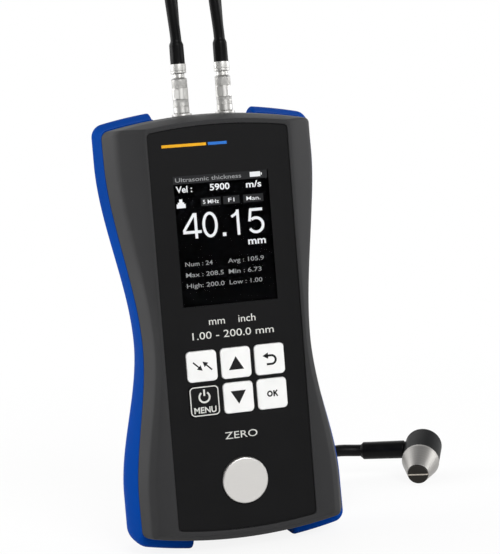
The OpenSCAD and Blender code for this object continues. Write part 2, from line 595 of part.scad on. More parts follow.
module lead(route) color([0.05, 0.05, 0.05]) cord(spline(route, 2), lead_d, [0.98, -0.22, 0]);
module left_lead() lead(left_route);
module right_lead() lead(right_route);

module lead_splitter() color([0.07, 0.07, 0.07]) translate(splitter_at) hull() {
    for (s = [-1, 1]) translate([s*3.2, 0, 12]) cylinder(d = lead_d + 3, h = splitter_h - 12, $fn = 32);
    cylinder(d = cable_d + 2.4, h = 2, $fn = 32);
}

module cable_drop() color([0.05, 0.05, 0.05]) cord(spline(drop_route, 2), cable_d, [1, 0, 0]);

module cable_coil() color([0.05, 0.05, 0.05]) translate([coil_at[0], coil_at[1], 0]) rotate_extrude()
    translate([coil_r, coil_w/2]) {
        square([coil_w, coil_w - 2*cable_d/2], center = true);
        square([coil_w - 2*cable_d/2, coil_w], center = true);
        for (i = [-1, 1], j = [-1, 1]) translate([i*(coil_w - cable_d)/2, j*(coil_w - cable_d)/2]) circle(cable_d/2);
    }

// Band round the coil's bundle, on the side where no cable crosses it
tie_t = 0.8;
tie_gap = 0.35;    // takes up the bundle's curve across the band
module coil_tie() color([0.1, 0.1, 0.1]) translate([coil_at[0] - coil_r, coil_at[1], 0]) difference() {
    translate([-coil_w/2 - tie_gap - tie_t, -tie_w/2, 0]) cube([coil_w + 2*tie_gap + 2*tie_t, tie_w, coil_w + fit + tie_t]);
    translate([-coil_w/2 - tie_gap, -tie_w, -1]) cube([coil_w + 2*tie_gap, 2*tie_w, coil_w + fit + 1]);
}

// Probe: it lies on its cone, nose down, and points to the front
lean = atan((ferrule_d - tip_d)/2/(cone_l + tip_out));
probe_turn = 62;
probe_foot = [105.8, 62.3, 0];
module in_probe() {
    translate([probe_foot[0], probe_foot[1], tip_d/2*cos(lean)]) rotate([0, 90 - lean, probe_turn]) children();
}
cap_z = tip_out + cone_l + 1;
boot_z = cap_z + 11.9;

module probe_ferrule() color([0.75, 0.74, 0.72]) in_probe() rotate_extrude()
    polygon([[tip_d/2 + 0.05, tip_out], [tip_d/2 + 0.35, tip_out], [ferrule_d/2, tip_out + cone_l], [ferrule_d/2, cap_z],
        [ferrule_d/2 - 1.6, cap_z], [tip_d/2 + 0.05, cap_z]]);

module probe_cap() color([0.16, 0.17, 0.17]) in_probe() difference() {
    rotate_extrude() polygon(concat([[0, cap_z], [cap_d/2, cap_z]],
        [for (a = [0:15:90]) [cap_d/2 - 2.4 + 2.4*cos(a), cap_z + cap_l - 2.4 + 2.4*sin(a)]], [[0, cap_z + cap_l]]));
    translate([0, 0, cap_z - 1]) cylinder(d = tip_d + 0.1, h = 7);
    translate([0, 0, boot_z]) rotate([-90, 0, 0]) cylinder(d = probe_boot_d - 1 + 2*fit, h = cap_d);
}

boot_in = 5;
module probe_boot() color([0.05, 0.05, 0.05]) in_probe() translate([0, 0, boot_z]) rotate([-90, 0, 0]) difference() {
    union() {
        translate([0, 0, boot_in]) cylinder(d = probe_boot_d - 1, h = cap_d/2);
        translate([0, 0, cap_d/2 + 0.2]) rotate_extrude() polygon([[0, 0], [probe_boot_d/2, 0],
            [probe_boot_d/2, probe_boot_l - 1.4], [cable_d/2 + 0.4, probe_boot_l], [0, probe_boot_l]]);
    }
    translate([0, 0, cap_d/2 + 0.2 + probe_boot_l - 6]) cylinder(d = cable_d + 0.1, h = 8);
}

// The contact face: two half-round delay lines with a barrier between them, crystals and backing behind
line_l = 9;
crystal_t = 0.6;
module half_round(s, z, l, d) {
    intersection() {
        translate([0, 0, z]) cylinder(d = d, h = l);
        translate([s > 0 ? barrier_t/2 : -d - barrier_t/2, -d, z - 1]) cube([d, 2*d, l + 2]);
    }
}
module send_line() color([0.13, 0.12, 0.1]) in_probe() half_round(1, 0, line_l, tip_d);
module receive_line() color([0.13, 0.12, 0.1]) in_probe() half_round(-1, 0, line_l, tip_d);
module send_crystal() color([0.8, 0.75, 0.5]) in_probe() half_round(1, line_l, crystal_t, tip_d - 1);
module receive_crystal() color([0.8, 0.75, 0.5]) in_probe() half_round(-1, line_l, crystal_t, tip_d - 1);
module acoustic_barrier() color([0.7, 0.66, 0.6]) in_probe() intersection() {
    cylinder(d = tip_d, h = line_l + crystal_t);
    translate([-barrier_t/2, -tip_d, -1]) cube([barrier_t, 2*tip_d, 20]);
}
module probe_backing() color([0.25, 0.22, 0.2]) in_probe() translate([0, 0, line_l + crystal_t])
    cylinder(d = tip_d, h = cap_z + 6 - line_l - crystal_t);

module cable_tail() color([0.05, 0.05, 0.05]) {
    base = [probe_foot[0], probe_foot[1], tip_d/2*cos(lean)];
    axis = [sin(90 - lean)*cos(probe_turn), sin(90 - lean)*sin(probe_turn), cos(90 - lean)];
    side = [-sin(probe_turn), cos(probe_turn), 0];
    end = base + axis*boot_z + side*(cap_d/2 + 0.2 + probe_boot_l - 6);
    cord(concat(spline(concat(tail_route, [end + side*14, end + side*6]), 2), [end]), cable_d, [0, 0, 1]);
}

front_shell();
back_shell();
left_bumper();
right_bumper();
case_screws();
front_overlay();
display_lens();
display_gasket();
lcd_module();
main_board();
board_screws();
battery_pack();
charge_socket();
keypad_mat();
arrows_key();
up_key();
return_key();
menu_key();
down_key();
ok_key();
zero_disc();
left_socket();
right_socket();
left_socket_nut();
right_socket_nut();
left_plug_core();
left_plug_sleeve();
left_collet_nut();
left_plug_boot();
right_plug_core();
right_plug_sleeve();
right_collet_nut();
right_plug_boot();
left_lead();
right_lead();
lead_splitter();
cable_drop();
cable_coil();
coil_tie();
cable_tail();
probe_boot();
probe_cap();
probe_ferrule();
send_line();
receive_line();
acoustic_barrier();
send_crystal();
receive_crystal();
probe_backing();
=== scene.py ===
"""Looks of an ultrasonic thickness gauge with a dual-element probe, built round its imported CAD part."""
import math
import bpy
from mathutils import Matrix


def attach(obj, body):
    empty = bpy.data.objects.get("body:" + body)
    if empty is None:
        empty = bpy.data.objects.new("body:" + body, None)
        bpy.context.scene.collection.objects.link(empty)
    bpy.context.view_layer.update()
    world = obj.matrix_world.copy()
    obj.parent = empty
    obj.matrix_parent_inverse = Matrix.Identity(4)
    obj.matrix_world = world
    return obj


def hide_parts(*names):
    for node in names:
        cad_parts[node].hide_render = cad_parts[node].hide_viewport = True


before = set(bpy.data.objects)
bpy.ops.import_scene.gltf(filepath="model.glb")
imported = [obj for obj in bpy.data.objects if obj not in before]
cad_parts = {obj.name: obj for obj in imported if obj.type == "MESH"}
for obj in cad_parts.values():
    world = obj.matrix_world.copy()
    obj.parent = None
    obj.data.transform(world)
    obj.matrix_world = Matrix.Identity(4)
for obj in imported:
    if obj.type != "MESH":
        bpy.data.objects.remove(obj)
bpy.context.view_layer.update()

from types import SimpleNamespace

import bpy
import numpy as np
from mathutils import Matrix

bl_info = {
    "name": "Thickness Gauge Looks",
    "version": (1, 0, 0),
    "blender": (4, 5, 0),
    "location": "View3D > Sidebar > Gauge",
    "description": "Dresses the packed thickness gauge: housing, bumpers, front panel, connectors, cable and probe",
    "category": "Object",
}

MM = 0.001
ROOT = "gauge"


def linear(code):
    """Linear RGB of an sRGB hex value."""
    c = np.array([int(code[i:i + 2], 16) for i in (1, 3, 5)]) / 255
    return tuple(np.where(c <= 0.04045, c / 12.92, ((c + 0.055) / 1.055) ** 2.4).tolist())


def length(name, description, value):
    """A size in metres, given in millimetres."""
    return bpy.props.FloatProperty(name=name, description=description, default=value * MM, unit="LENGTH",
                                   precision=5)


def colour(name, description, code):
    """A colour, given as an sRGB hex value."""
    return bpy.props.FloatVectorProperty(name=name, description=description, default=linear(code), subtype="COLOR",
                                         size=3, min=0, max=1)


class GaugeHousing(bpy.types.PropertyGroup):
    """Sizes of the two shells and the bumpers."""
    body_depth: length("Body depth", "Front rim to the back of the bumpers", 40)
    crown_height: length("Crown height", "Middle of the crowned top", 184)
    sole_height: length("Sole height", "Middle of the crowned lower end", 3.8)
    top_half: length("Top half width", "On the parting line", 45.4)
    waist_half: length("Waist half width", "On the parting line", 36.3)
    foot_half: length("Foot half width", "On the parting line", 44)
    waist_height: length("Waist height", "Height of the narrowest place", 88)
    foot_sweep: length("Foot sweep", "Waist to the full width below", 64)
    top_sweep: length("Top sweep", "Waist to the full width above", 78)
    crown_radius: length("Crown radius", "Radius of the crowned ends", 200)
    corner_radius: length("Corner radius", "Radius of the housing's corners", 3.4)
    part_depth: length("Parting depth", "Parting line behind the front rim at the standing plane", 8.2)
    part_slope: bpy.props.FloatProperty(name="Parting slope", description="Depth gained per height", default=0.069)
    skirt: length("Skirt", "Width of the front shell behind the parting line", 8)
    edge_depth: length("Crease depth", "Crease behind the front rim at the waist", 2.4)
    crease_rise: length("Crease rise", "How much deeper the crease lies at the top", 5.4)
    seat: length("Bumper seat", "Depth of the bumpers' seat", 2.4)
    bulge_top: length("Top bulge", "Bumper past the shell at the top", 2.4)
    bulge_waist: length("Waist bulge", "Bumper past the shell at the waist", 1.1)
    bulge_foot: length("Foot bulge", "Bumper past the shell at the foot", 3.4)
    tab_height: length("Tab height", "Top tabs above the housing", 3.6)
    tab_x: length("Tab end", "Ends of the tabs from the middle plane", 22.2)
    tab_gap: length("Tab gap", "Between a tab and the housing beside it", 0.3)
    back_proud: length("Bumper behind back", "Bumpers behind the back plate", 1.5)
    post_x: length("Screw place", "Case screws from the middle plane", 30.6)
    post_low: length("Lower screws", "Height of the lower case screws", 20.6)
    post_high: length("Upper screws", "Height of the upper case screws", 168.6)


class GaugeFront(bpy.types.PropertyGroup):
    """Sizes of the overlay, the display, the keys and the zero disc."""
    overlay_width: length("Overlay width", "Width of the front overlay", 59.6)
    overlay_margin: length("Overlay margin", "Between the crowned ends and the overlay", 5.4)
    overlay_recess: length("Overlay recess", "Overlay face behind the rim", 0.8)
    overlay_thick: length("Overlay thickness", "Thickness of the overlay film", 0.5)
    display_width: length("Display width", "Visible area", 40.7)
    display_height: length("Display height", "Visible area", 54.3)
    display_centre: length("Display centre", "Height of the display's centre", 131.2)
    glass_face: length("Display glass", "Front of the display's glass", -17.55)
    key_width: length("Key width", "Side of a key", 12.9)
    key_pitch: length("Key pitch", "Key to key", 14.6)
    key_row: length("Lower key row", "Height of the lower row", 64.5)
    key_radius: length("Key radius", "Corner radius of a key", 1.8)
    key_gap: length("Key gap", "Clearance round a key", 0.2)
    key_proud: length("Key height", "Key in front of the overlay", 0.6)
    disc_diameter: length("Disc diameter", "Zero disc", 19.6)
    disc_centre: length("Disc centre", "Height of the zero disc", 29.5)
    disc_proud: length("Disc height", "Zero disc in front of the overlay", 1.6)


class GaugeCable(bpy.types.PropertyGroup):
    """Sizes of the plugs, the cable and the probe."""
    socket_x: length("Socket place", "Sockets from the middle plane", 9.5)
    socket_y: length("Socket depth", "Sockets behind the housing's middle", 3.296)
    sleeve_diameter: length("Sleeve diameter", "Push-pull sleeve", 6.8)
    sleeve_length: length("Sleeve length", "Push-pull sleeve", 15.2)
    core_diameter: length("Plug core", "Diameter of the plug's core", 4.9)
    lead_diameter: length("Lead diameter", "Each of the two leads", 4.7)
    cable_diameter: length("Cable diameter", "Probe cable", 5.9)
    cap_diameter: length("Cap diameter", "Probe cap", 18.2)
    cap_length: length("Cap length", "Probe cap", 17.6)
    ferrule_diameter: length("Ferrule diameter", "Large end of the steel ferrule", 18.4)
    cone_length: length("Cone length", "Cone of the ferrule", 11.6)
    tip_diameter: length("Contact face", "Diameter of the contact face", 9.8)
    tip_out: length("Tip stand-out", "Contact face in front of the ferrule", 0.9)
    boot_diameter: length("Probe boot diameter", "Cable boot of the probe", 8.9)
    boot_length: length("Probe boot length", "Cable boot of the probe", 22)


class GaugeColours(bpy.types.PropertyGroup):
    """Colours of the finishes."""
    shell: colour("Shell grey", "Moulded housing", "#2d2d2e")
    bumper: colour("Bumper blue", "Soft bumpers", "#043c8e")
    film: colour("Overlay black", "Printed front film", "#0f0f10")
    key: colour("Key white", "Moulded keys", "#eaeae9")
    ink: colour("Key ink", "Symbols on the white keys", "#161617")
    print: colour("Print white", "White print", "#d0d0cc")
    amber: colour("Accent amber", "Accent line", "#e0a21c")
    steel: colour("Steel", "Ground and turned steel", "#d6d4d1")
    nickel: colour("Nickel", "Plated connectors", "#c8c7c4")
    cable: colour("Cable black", "Cable jacket and boots", "#080809")
    cap: colour("Cap black", "Probe cap", "#111213")


GROUPS = {"gauge_housing": GaugeHousing, "gauge_front": GaugeFront, "gauge_cable": GaugeCable,
          "gauge_colours": GaugeColours}

END_SEAT = 0.3        # seat between the tabs, at the two crowned ends
SPOT_SINK = 0.6       # spot faces of the sockets below the crown
NUT_RISE = 1.6        # plugs above the spot faces
SLEEVE_TRAVEL = 1.8   # room above a sleeve, to the collet nut
COLLET_HIGH = 3.9     # collet nuts


def sizes(context):
    """All sizes in millimetres, with the planes that follow from them."""
    g = SimpleNamespace()
    for group in ("gauge_housing", "gauge_front", "gauge_cable"):
        values = getattr(context.scene, group)
        for name in type(values).__annotations__:
            setattr(g, name, getattr(values, name) * (1 if name == "part_slope" else 1000))
    g.y_rim = -g.body_depth / 2
    g.y_back = g.body_depth / 2
    g.y_plate = g.y_back - g.back_proud
    g.y_overlay = g.y_rim + g.overlay_recess
    g.y_pocket = g.y_overlay + g.overlay_thick
    # A section: half widths at foot, waist and top, heights of both ends at the tabs, and of both between the tabs
    ends = [g.sole_height, g.crown_height]
    g.grey = np.array([g.foot_half, g.waist_half, g.top_half, *ends, *ends])
    g.core = inset(g.grey, g.seat) + np.array([0, 0, 0, 0, 0, END_SEAT - g.seat, g.seat - END_SEAT])
    g.spot_z = g.crown_height - sag(g, g.socket_x) - SPOT_SINK
    g.plug_z = g.spot_z + NUT_RISE
    g.collet_z = g.plug_z + g.sleeve_length + SLEEVE_TRAVEL
    g.lead_z = g.collet_z + COLLET_HIGH
    g.cap_z = g.tip_out + g.cone_length + CAP_START
    return g


# Shapes -----------------------------------------------------------------------------------------

MID, TAB, CORNER, SIDE = 9, 12, 10, 80   # steps of an outline: between the tabs, along a tab, round a corner, up a side
LEAST_CORNER = 2                         # smallest corner radius of an inset section
OVERLAY_CORNER = 1.7                     # corner radius of the overlay


def inset(s, foot, *others):
    """A section moved in by one amount all round, or by its own at the foot, the waist, the top and the ends."""
    waist, top, end = others or (foot, foot, foot)
    return s + np.array([-foot, -waist, -top, end, -end, end, -end])


def ease(t):
    """Smooth step from 0 to 1: 3t^2 - 2t^3."""
    c = np.clip(t, 0, 1)
    return c * c * (3 - 2 * c)


def sag(g, x):
    """Drop of the crowned end at x: radius minus the height of its circle."""
    return g.crown_radius - np.sqrt(g.crown_radius ** 2 - np.square(x))


def half_outline(g, s):
    """Right half of a section, from the middle of the lower end to the middle of the top: crowned end, corner arc,
    waisted side (smooth steps from the waist out to foot and top), corner arc, crowned end."""
    q = g.crown_radius
    r = max(LEAST_CORNER, g.corner_radius + s[0] - g.foot_half)
    e = max(LEAST_CORNER, g.corner_radius + s[2] - g.top_half)
    bx, tx = s[0] - r, s[2] - e
    bz = s[3] + q - math.sqrt((q - r) ** 2 - bx * bx)
    tz = s[4] - q + math.sqrt((q - e) ** 2 - tx * tx)
    ba, ta = math.atan2(bz - s[3] - q, bx), math.atan2(tz - s[4] + q, tx)
    edge = g.tab_x - g.tab_gap
    mid = np.linspace(0, edge, MID + 1)
    low = np.linspace(g.tab_x, bx + r * math.cos(ba), TAB + 1)
    high = np.linspace(tx + e * math.cos(ta), g.tab_x, TAB + 1)
    a = ba * (1 - np.arange(1, CORNER + 1) / CORNER)
    b = ta * np.arange(CORNER) / CORNER
    z = bz + (tz - bz) * np.arange(1, SIDE) / SIDE
    side = np.where(z < g.waist_height,
                    s[1] + (s[0] - s[1]) * (1 - ease(1 - (g.waist_height - z) / g.foot_sweep)),
                    s[1] + (s[2] - s[1]) * ease((z - g.waist_height) / g.top_sweep))
    x = np.concatenate([mid, low, bx + r * np.cos(a), side, tx + e * np.cos(b), high, mid[::-1]])
    h = np.concatenate([s[5] + sag(g, mid), s[3] + sag(g, low), bz + r * np.sin(a), z, tz + e * np.sin(b),
                        s[4] - sag(g, high), s[6] - sag(g, mid[::-1])])
    return np.stack([x, h], 1)


def overlay_outline(g, grow):
    """Right half of the overlay's outline, grown by a margin, with as many points as a section has."""
    q, w, r = g.crown_radius, g.overlay_width / 2 + grow, OVERLAY_CORNER + grow
    x = w - r
    b, t = g.sole_height + g.overlay_margin - grow, g.crown_height - g.overlay_margin + grow
    bz = b + q - math.sqrt((q - r) ** 2 - x * x)
    tz = t - q + math.sqrt((q - r) ** 2 - x * x)
    ba, ta = math.atan2(bz - b - q, x), math.atan2(tz - t + q, x)
    low = np.linspace(0, x + r * math.cos(ba), MID + TAB + 2)
    high = np.linspace(x + r * math.cos(ta), 0, MID + TAB + 2)
    a = ba * (1 - np.arange(1, CORNER + 1) / CORNER)
    c = ta * np.arange(CORNER) / CORNER
    z = bz + (tz - bz) * np.arange(1, SIDE) / SIDE
    across = np.concatenate([low, x + r * np.cos(a), np.full(SIDE - 1, w), x + r * np.cos(c), high])
    up = np.concatenate([b + sag(g, low), bz + r * np.sin(a), z, tz + r * np.sin(c), t - sag(g, high)])
    return np.stack([across, up], 1)


def whole(half):
    """The closed outline of a mirrored half."""
    return np.vstack([half, half[-2:0:-1] * [-1, 1]])


def at_depth(points, y):
    """Outline points set at a depth, which is one number or one for each point."""
    return np.stack([points[:, 0], np.broadcast_to(y, len(points)), points[:, 1]], 1)


def part_y(g, z):
    """Depth of the slanted parting plane at a height."""
    return g.y_rim + g.part_depth + g.part_slope * z


def crease_y(g, z):
    """Depth of the front edge's crease at a height."""
    return g.y_rim + g.edge_depth + g.crease_rise * ease((z - g.waist_height) / g.top_sweep)


def skin(rings, around=True, along=False, first=False, last=False, flip=False, keep=None, scale=(1, 1)):
    """Grid through a stack of rings: quads between neighbours, closed round each ring or along the stack, with flat
    caps on the first and last ring. Returns points, faces and a UV for each corner, in turns or shares times scale."""
    m, n = rings.shape[:2]
    j, i = np.meshgrid(np.arange(m if along else m - 1), np.arange(n if around else n - 1), indexing="ij")
    j, i = j.ravel(), i.ravel()
    if keep is not None:
        chosen = keep(j, i)
        j, i = j[chosen], i[chosen]
    cj, ci = np.stack([j, j, j + 1, j + 1], 1), np.stack([i, i + 1, i + 1, i], 1)
    uv = np.stack([ci / n * scale[0], cj / m * scale[1]], -1)
    faces = (cj % m) * n + ci % n
    if flip:
        faces, uv = faces[:, ::-1], uv[:, ::-1]
    faces, uv = faces.tolist(), uv.reshape(-1, 2)
    for wanted, base, back in ((first, 0, not flip), (last, (m - 1) * n, flip)):
        if wanted:
            loop = np.arange(n) + base
            faces.append((loop[::-1] if back else loop).tolist())
            uv = np.vstack([uv, np.zeros((n, 2))])
    return rings.reshape(-1, 3), faces, uv


def full_turn(steps):
    """Angles of a full turn in even steps, in radians."""
    return np.arange(steps) / steps * 2 * np.pi


def ellipse(steps, x, z, across, up):
    """Closed outline of an ellipse: (x + across cos a, z + up sin a)."""
    a = full_turn(steps)
    return np.stack([x + across * np.cos(a), z + up * np.sin(a)], 1)


def lathe(profile, turns=64):
    """Rings of a profile of (radius, height) pairs turned about Z."""
    p, a = np.asarray(profile, float), full_turn(turns)
    return np.stack([p[:, :1] * np.cos(a), p[:, :1] * np.sin(a), np.repeat(p[:, 1:2], turns, 1)], -1)


def rounded(profile, radius):
    """An open profile whose inner corners are replaced by quadratic curves between points set back along both sides:
    start (1 - t)^2 + corner 2t(1 - t) + stop t^2."""
    p = np.asarray(profile, float)
    t = np.linspace(0, 1, 5)[:, None]
    out = [p[:1]]
    for a, b, c in zip(p, p[1:], p[2:]):
        u, v = a - b, c - b
        lu, lv = np.linalg.norm(u), np.linalg.norm(v)
        d = min(radius, 0.45 * min(lu, lv))
        s, e = b + u / lu * d, b + v / lv * d
        out.append((1 - t) ** 2 * s + 2 * t * (1 - t) * b + t * t * e)
    return np.vstack(out + [p[-1:]])


def rounded_square(width, radius, steps=8):
    """Closed outline of a rounded square, counter-clockwise from the right side's lower end."""
    a = np.concatenate([np.linspace(k * 90, k * 90 + 90, steps + 1) for k in range(4)]) * np.pi / 180
    k = np.repeat(np.arange(4), steps + 1)
    c = width / 2 - radius
    x, z = np.array([1, -1, -1, 1])[k], np.array([1, 1, -1, -1])[k]
    return np.stack([x * c + radius * np.cos(a), z * c + radius * np.sin(a)], 1)


def curve_through(points, steps, before=None, after=None):
    """Catmull-Rom curve through points, with even steps between neighbours. The points before and after only set the
    directions of its ends, which otherwise follow the first and last chord."""
    p = np.asarray(points, float)
    q = np.vstack([p[:1] if before is None else [before], p, p[-1:] if after is None else [after]])
    t = (np.arange(steps) / steps)[None, :, None]
    a, b, c, d = (q[k:len(q) - 3 + k, None] for k in range(4))
    s = 0.5 * (2 * b + (c - a) * t + (2 * a - 5 * b + 4 * c - d) * t ** 2 + (3 * b - a - 3 * c + d) * t ** 3)
    return np.vstack([s.reshape(-1, 3), p[-1:]])


def stroke(points, width, closed=False):
    """Flat band of even width along a line of (x, z) points: the line moved to both sides along its normal."""
    p = np.asarray(points, float)
    d = np.roll(p, -1, 0) - np.roll(p, 1, 0) if closed else np.gradient(p, axis=0)
    d /= np.linalg.norm(d, axis=1)[:, None]
    n = np.stack([-d[:, 1], d[:, 0]], 1) * width / 2
    m = len(p)
    k = np.arange(m if closed else m - 1)
    faces = np.stack([k, (k + 1) % m, (k + 1) % m + m, k + m], 1).tolist()
    return np.vstack([p - n, p + n]), faces


def panel(points):
    """One flat face of (x, z) points, counter-clockwise from the front."""
    return np.asarray(points, float), [list(range(len(points)))]


def bar(x0, x1, z0, z1):
    """Flat rectangle."""
    return panel([(x0, z0), (x1, z0), (x1, z1), (x0, z1)])


def evaluated(data, *bodies):
    """Points and faces that Blender makes of a flat curve or, for each of several words, of a text. The curve is
    removed."""
    ob = bpy.data.objects.new(data.name, data)
    bpy.context.collection.objects.link(ob)
    found = []
    for words in bodies or (None,):
        if words is not None:
            data.body = words
        bpy.context.view_layer.update()
        me = bpy.data.meshes.new_from_object(ob.evaluated_get(bpy.context.evaluated_depsgraph_get()))
        co = np.empty(len(me.vertices) * 3)
        me.vertices.foreach_get("co", co)
        found.append((co.reshape(-1, 3)[:, :2], [list(f.vertices) for f in me.polygons]))
        bpy.data.meshes.remove(me)
    bpy.data.objects.remove(ob)
    bpy.data.curves.remove(data)
    return found


def lettering(body, x0, x1, z0, z1, weight=0.0):
    """Generic letters and numbers as flat faces, fitted between two places and two heights (the height is a capital's);
    weight moves their outlines out, in shares of the letter size."""
    data = bpy.data.curves.new("letters", "FONT")
    data.body, data.resolution_u, data.offset = "H", 3, weight
    (capital, _), (v, faces) = evaluated(data, "H", body)
    lo, hi = v[:, 0].min(), v[:, 0].max()
    across, up = (v[:, 0] - lo) / (hi - lo), v[:, 1] / capital[:, 1].max()
    return np.stack([x0 + across * (x1 - x0), z0 + up * (z1 - z0)], 1), faces


def filled(outlines, y, front=True):
    """Flat sheet at a depth: the first outline filled, with the others as holes."""
    data = bpy.data.curves.new("sheet", "CURVE")
    data.dimensions, data.fill_mode = "2D", "BOTH"
    for o in outlines:
        s = data.splines.new("POLY")
        s.points.add(len(o) - 1)
        s.points.foreach_set("co", np.column_stack([o, np.zeros(len(o)), np.ones(len(o))]).ravel())
        s.use_cyclic_u = True
    (flat, faces), = evaluated(data)
    points = at_depth(flat, y)
    v = points[faces[0][:3]]
    if (np.cross(v[1] - v[0], v[2] - v[0])[1] < 0) != front:
        faces = [f[::-1] for f in faces]
    return points, faces


def wall(outline, y0, y1, inward=False):
    """Band between two depths along a closed outline."""
    rings = np.stack([at_depth(outline, y0), at_depth(outline, y1)])
    p = outline
    ccw = np.sum(p[:, 0] * np.roll(p[:, 1], -1) - np.roll(p[:, 0], -1) * p[:, 1]) > 0
    return skin(rings, flip=bool(ccw) != inward)[:2]


def merged(*parts):
    """Several point and face lists as one."""
    points, faces, base = [], [], 0
    for part in parts:
        points.append(part[0])
        faces += [[k + base for k in face] for face in part[1]]
        base += len(part[0])
    return np.vstack(points), faces


def joined(shapes, y):
    """Flat shapes set in one plane that faces the front."""
    return merged(*((at_depth(points, y), faces) for points, faces in shapes))


def piece(name, shape, finish, body=ROOT, nodes=(), sharp=40, weld=False):
    """A mesh object at the origin from points in millimetres; it rides on a body and may stand for CAD nodes. Edges
    sharper than an angle in degrees stay sharp."""
    points, faces = shape[0], shape[1]
    me = bpy.data.meshes.new(name)
    me.from_pydata((np.asarray(points) * MM).tolist(), [], faces)
    if len(shape) > 2:
        me.uv_layers.new(name="UVMap").data.foreach_set("uv", np.asarray(shape[2], float).ravel())
    me.materials.append(finish)
    me.polygons.foreach_set("use_smooth", np.ones(len(me.polygons), bool))
    me.set_sharp_from_angle(angle=math.radians(sharp))
    me.update()
    ob = bpy.data.objects.new(name, me)
    bpy.context.collection.objects.link(ob)
    if weld:
        ob.modifiers.new("Weld", "WELD").merge_threshold = 1e-6
    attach(ob, body)
    if nodes:
        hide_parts(*nodes)
    return ob


# Finishes ---------------------------------------------------------------------------------------


def add(tree, kind, links=None, into=None, **settings):
    """One node with its settings (properties or sockets), the links into its sockets and, where given, the link from an
    output into a socket of another node."""
    node = tree.nodes.new(kind)
    for key, value in settings.items():
        socket = node.inputs.get(key.replace("_", " ").title())
        if socket is None:
            setattr(node, key, value)
        else:
            socket.default_value = value
    for socket, source in (links or {}).items():
        tree.links.new(source, node.inputs[socket])
    if into:
        tree.links.new(node.outputs[into[0]], into[1])
    return node


def blank(name, base, roughness, metallic=0.0, **sockets):
    """A material with its shader set: colour, roughness, metal and any further sockets by name."""
    mat = bpy.data.materials.new(name)
    mat.use_nodes = True
    shader = mat.node_tree.nodes["Principled BSDF"]
    shader.inputs["Base Color"].default_value = (*base, 1)
    shader.inputs["Roughness"].default_value = roughness
    shader.inputs["Metallic"].default_value = metallic
    for key, value in sockets.items():
        shader.inputs[key.replace("_", " ")].default_value = value
    return mat, mat.node_tree, shader


def grain(tree, shader, size_mm, height_mm, strength):
    """Moulded grain: noise of a real grain size as a bump of a real height."""
    where = add(tree, "ShaderNodeTexCoord")
    noise = add(tree, "ShaderNodeTexNoise", {"Vector": where.outputs["Object"]}, scale=1 / (size_mm * MM), detail=2.0)
    add(tree, "ShaderNodeBump", {"Height": noise.outputs["Fac"]}, ("Normal", shader.inputs["Normal"]), strength=strength,
        distance=height_mm * MM)
    return where


def tint(tree, shader, socket, factor, first, second, stops=(0, 1)):
    """A shader's colour between two colours, by a factor between two stops."""
    ramp = add(tree, "ShaderNodeValToRGB", {"Fac": factor}, ("Color", shader.inputs[socket]))
    for element, place, rgb in zip(ramp.color_ramp.elements, stops, (first, second)):
        element.position, element.color = place, (*rgb, 1)


def scaled(rgb, share):
    """A colour made lighter or darker by a factor."""
    return [min(1, v * share) for v in rgb]


NOISE_SPAN = (0.3, 0.7)   # where nearly all of a noise's values lie


def mottle(tree, shader, where, base, size_mm, share):
    """Slow change of the base colour, lighter and darker by a share, over a real size."""
    noise = add(tree, "ShaderNodeTexNoise", {"Vector": where.outputs["Object"]}, scale=1 / (size_mm * MM), detail=3.0)
    tint(tree, shader, "Base Color", noise.outputs["Fac"], scaled(base, 1 - share), scaled(base, 1 + share), NOISE_SPAN)
    return noise


def vary_roughness(tree, shader, noise, low, high):
    """Roughness between two values, by a noise."""
    add(tree, "ShaderNodeMapRange", {"Value": noise.outputs["Fac"]}, ("Result", shader.inputs["Roughness"]),
        from_min=NOISE_SPAN[0], from_max=NOISE_SPAN[1], to_min=low, to_max=high)


def grained(label, base, roughness, relief, patches, gloss=None, metallic=0.0, **sockets):
    """A material with a grain (size, height, strength), slow patches of colour (size, share) and, where given, a gloss
    that changes with them (lowest and highest roughness). Sizes and heights are in millimetres."""
    mat, tree, shader = blank(label, base, roughness, metallic, **sockets)
    patch = mottle(tree, shader, grain(tree, shader, *relief), base, *patches)
    if gloss:
        vary_roughness(tree, shader, patch, *gloss)
    return mat


FINISHES = {}


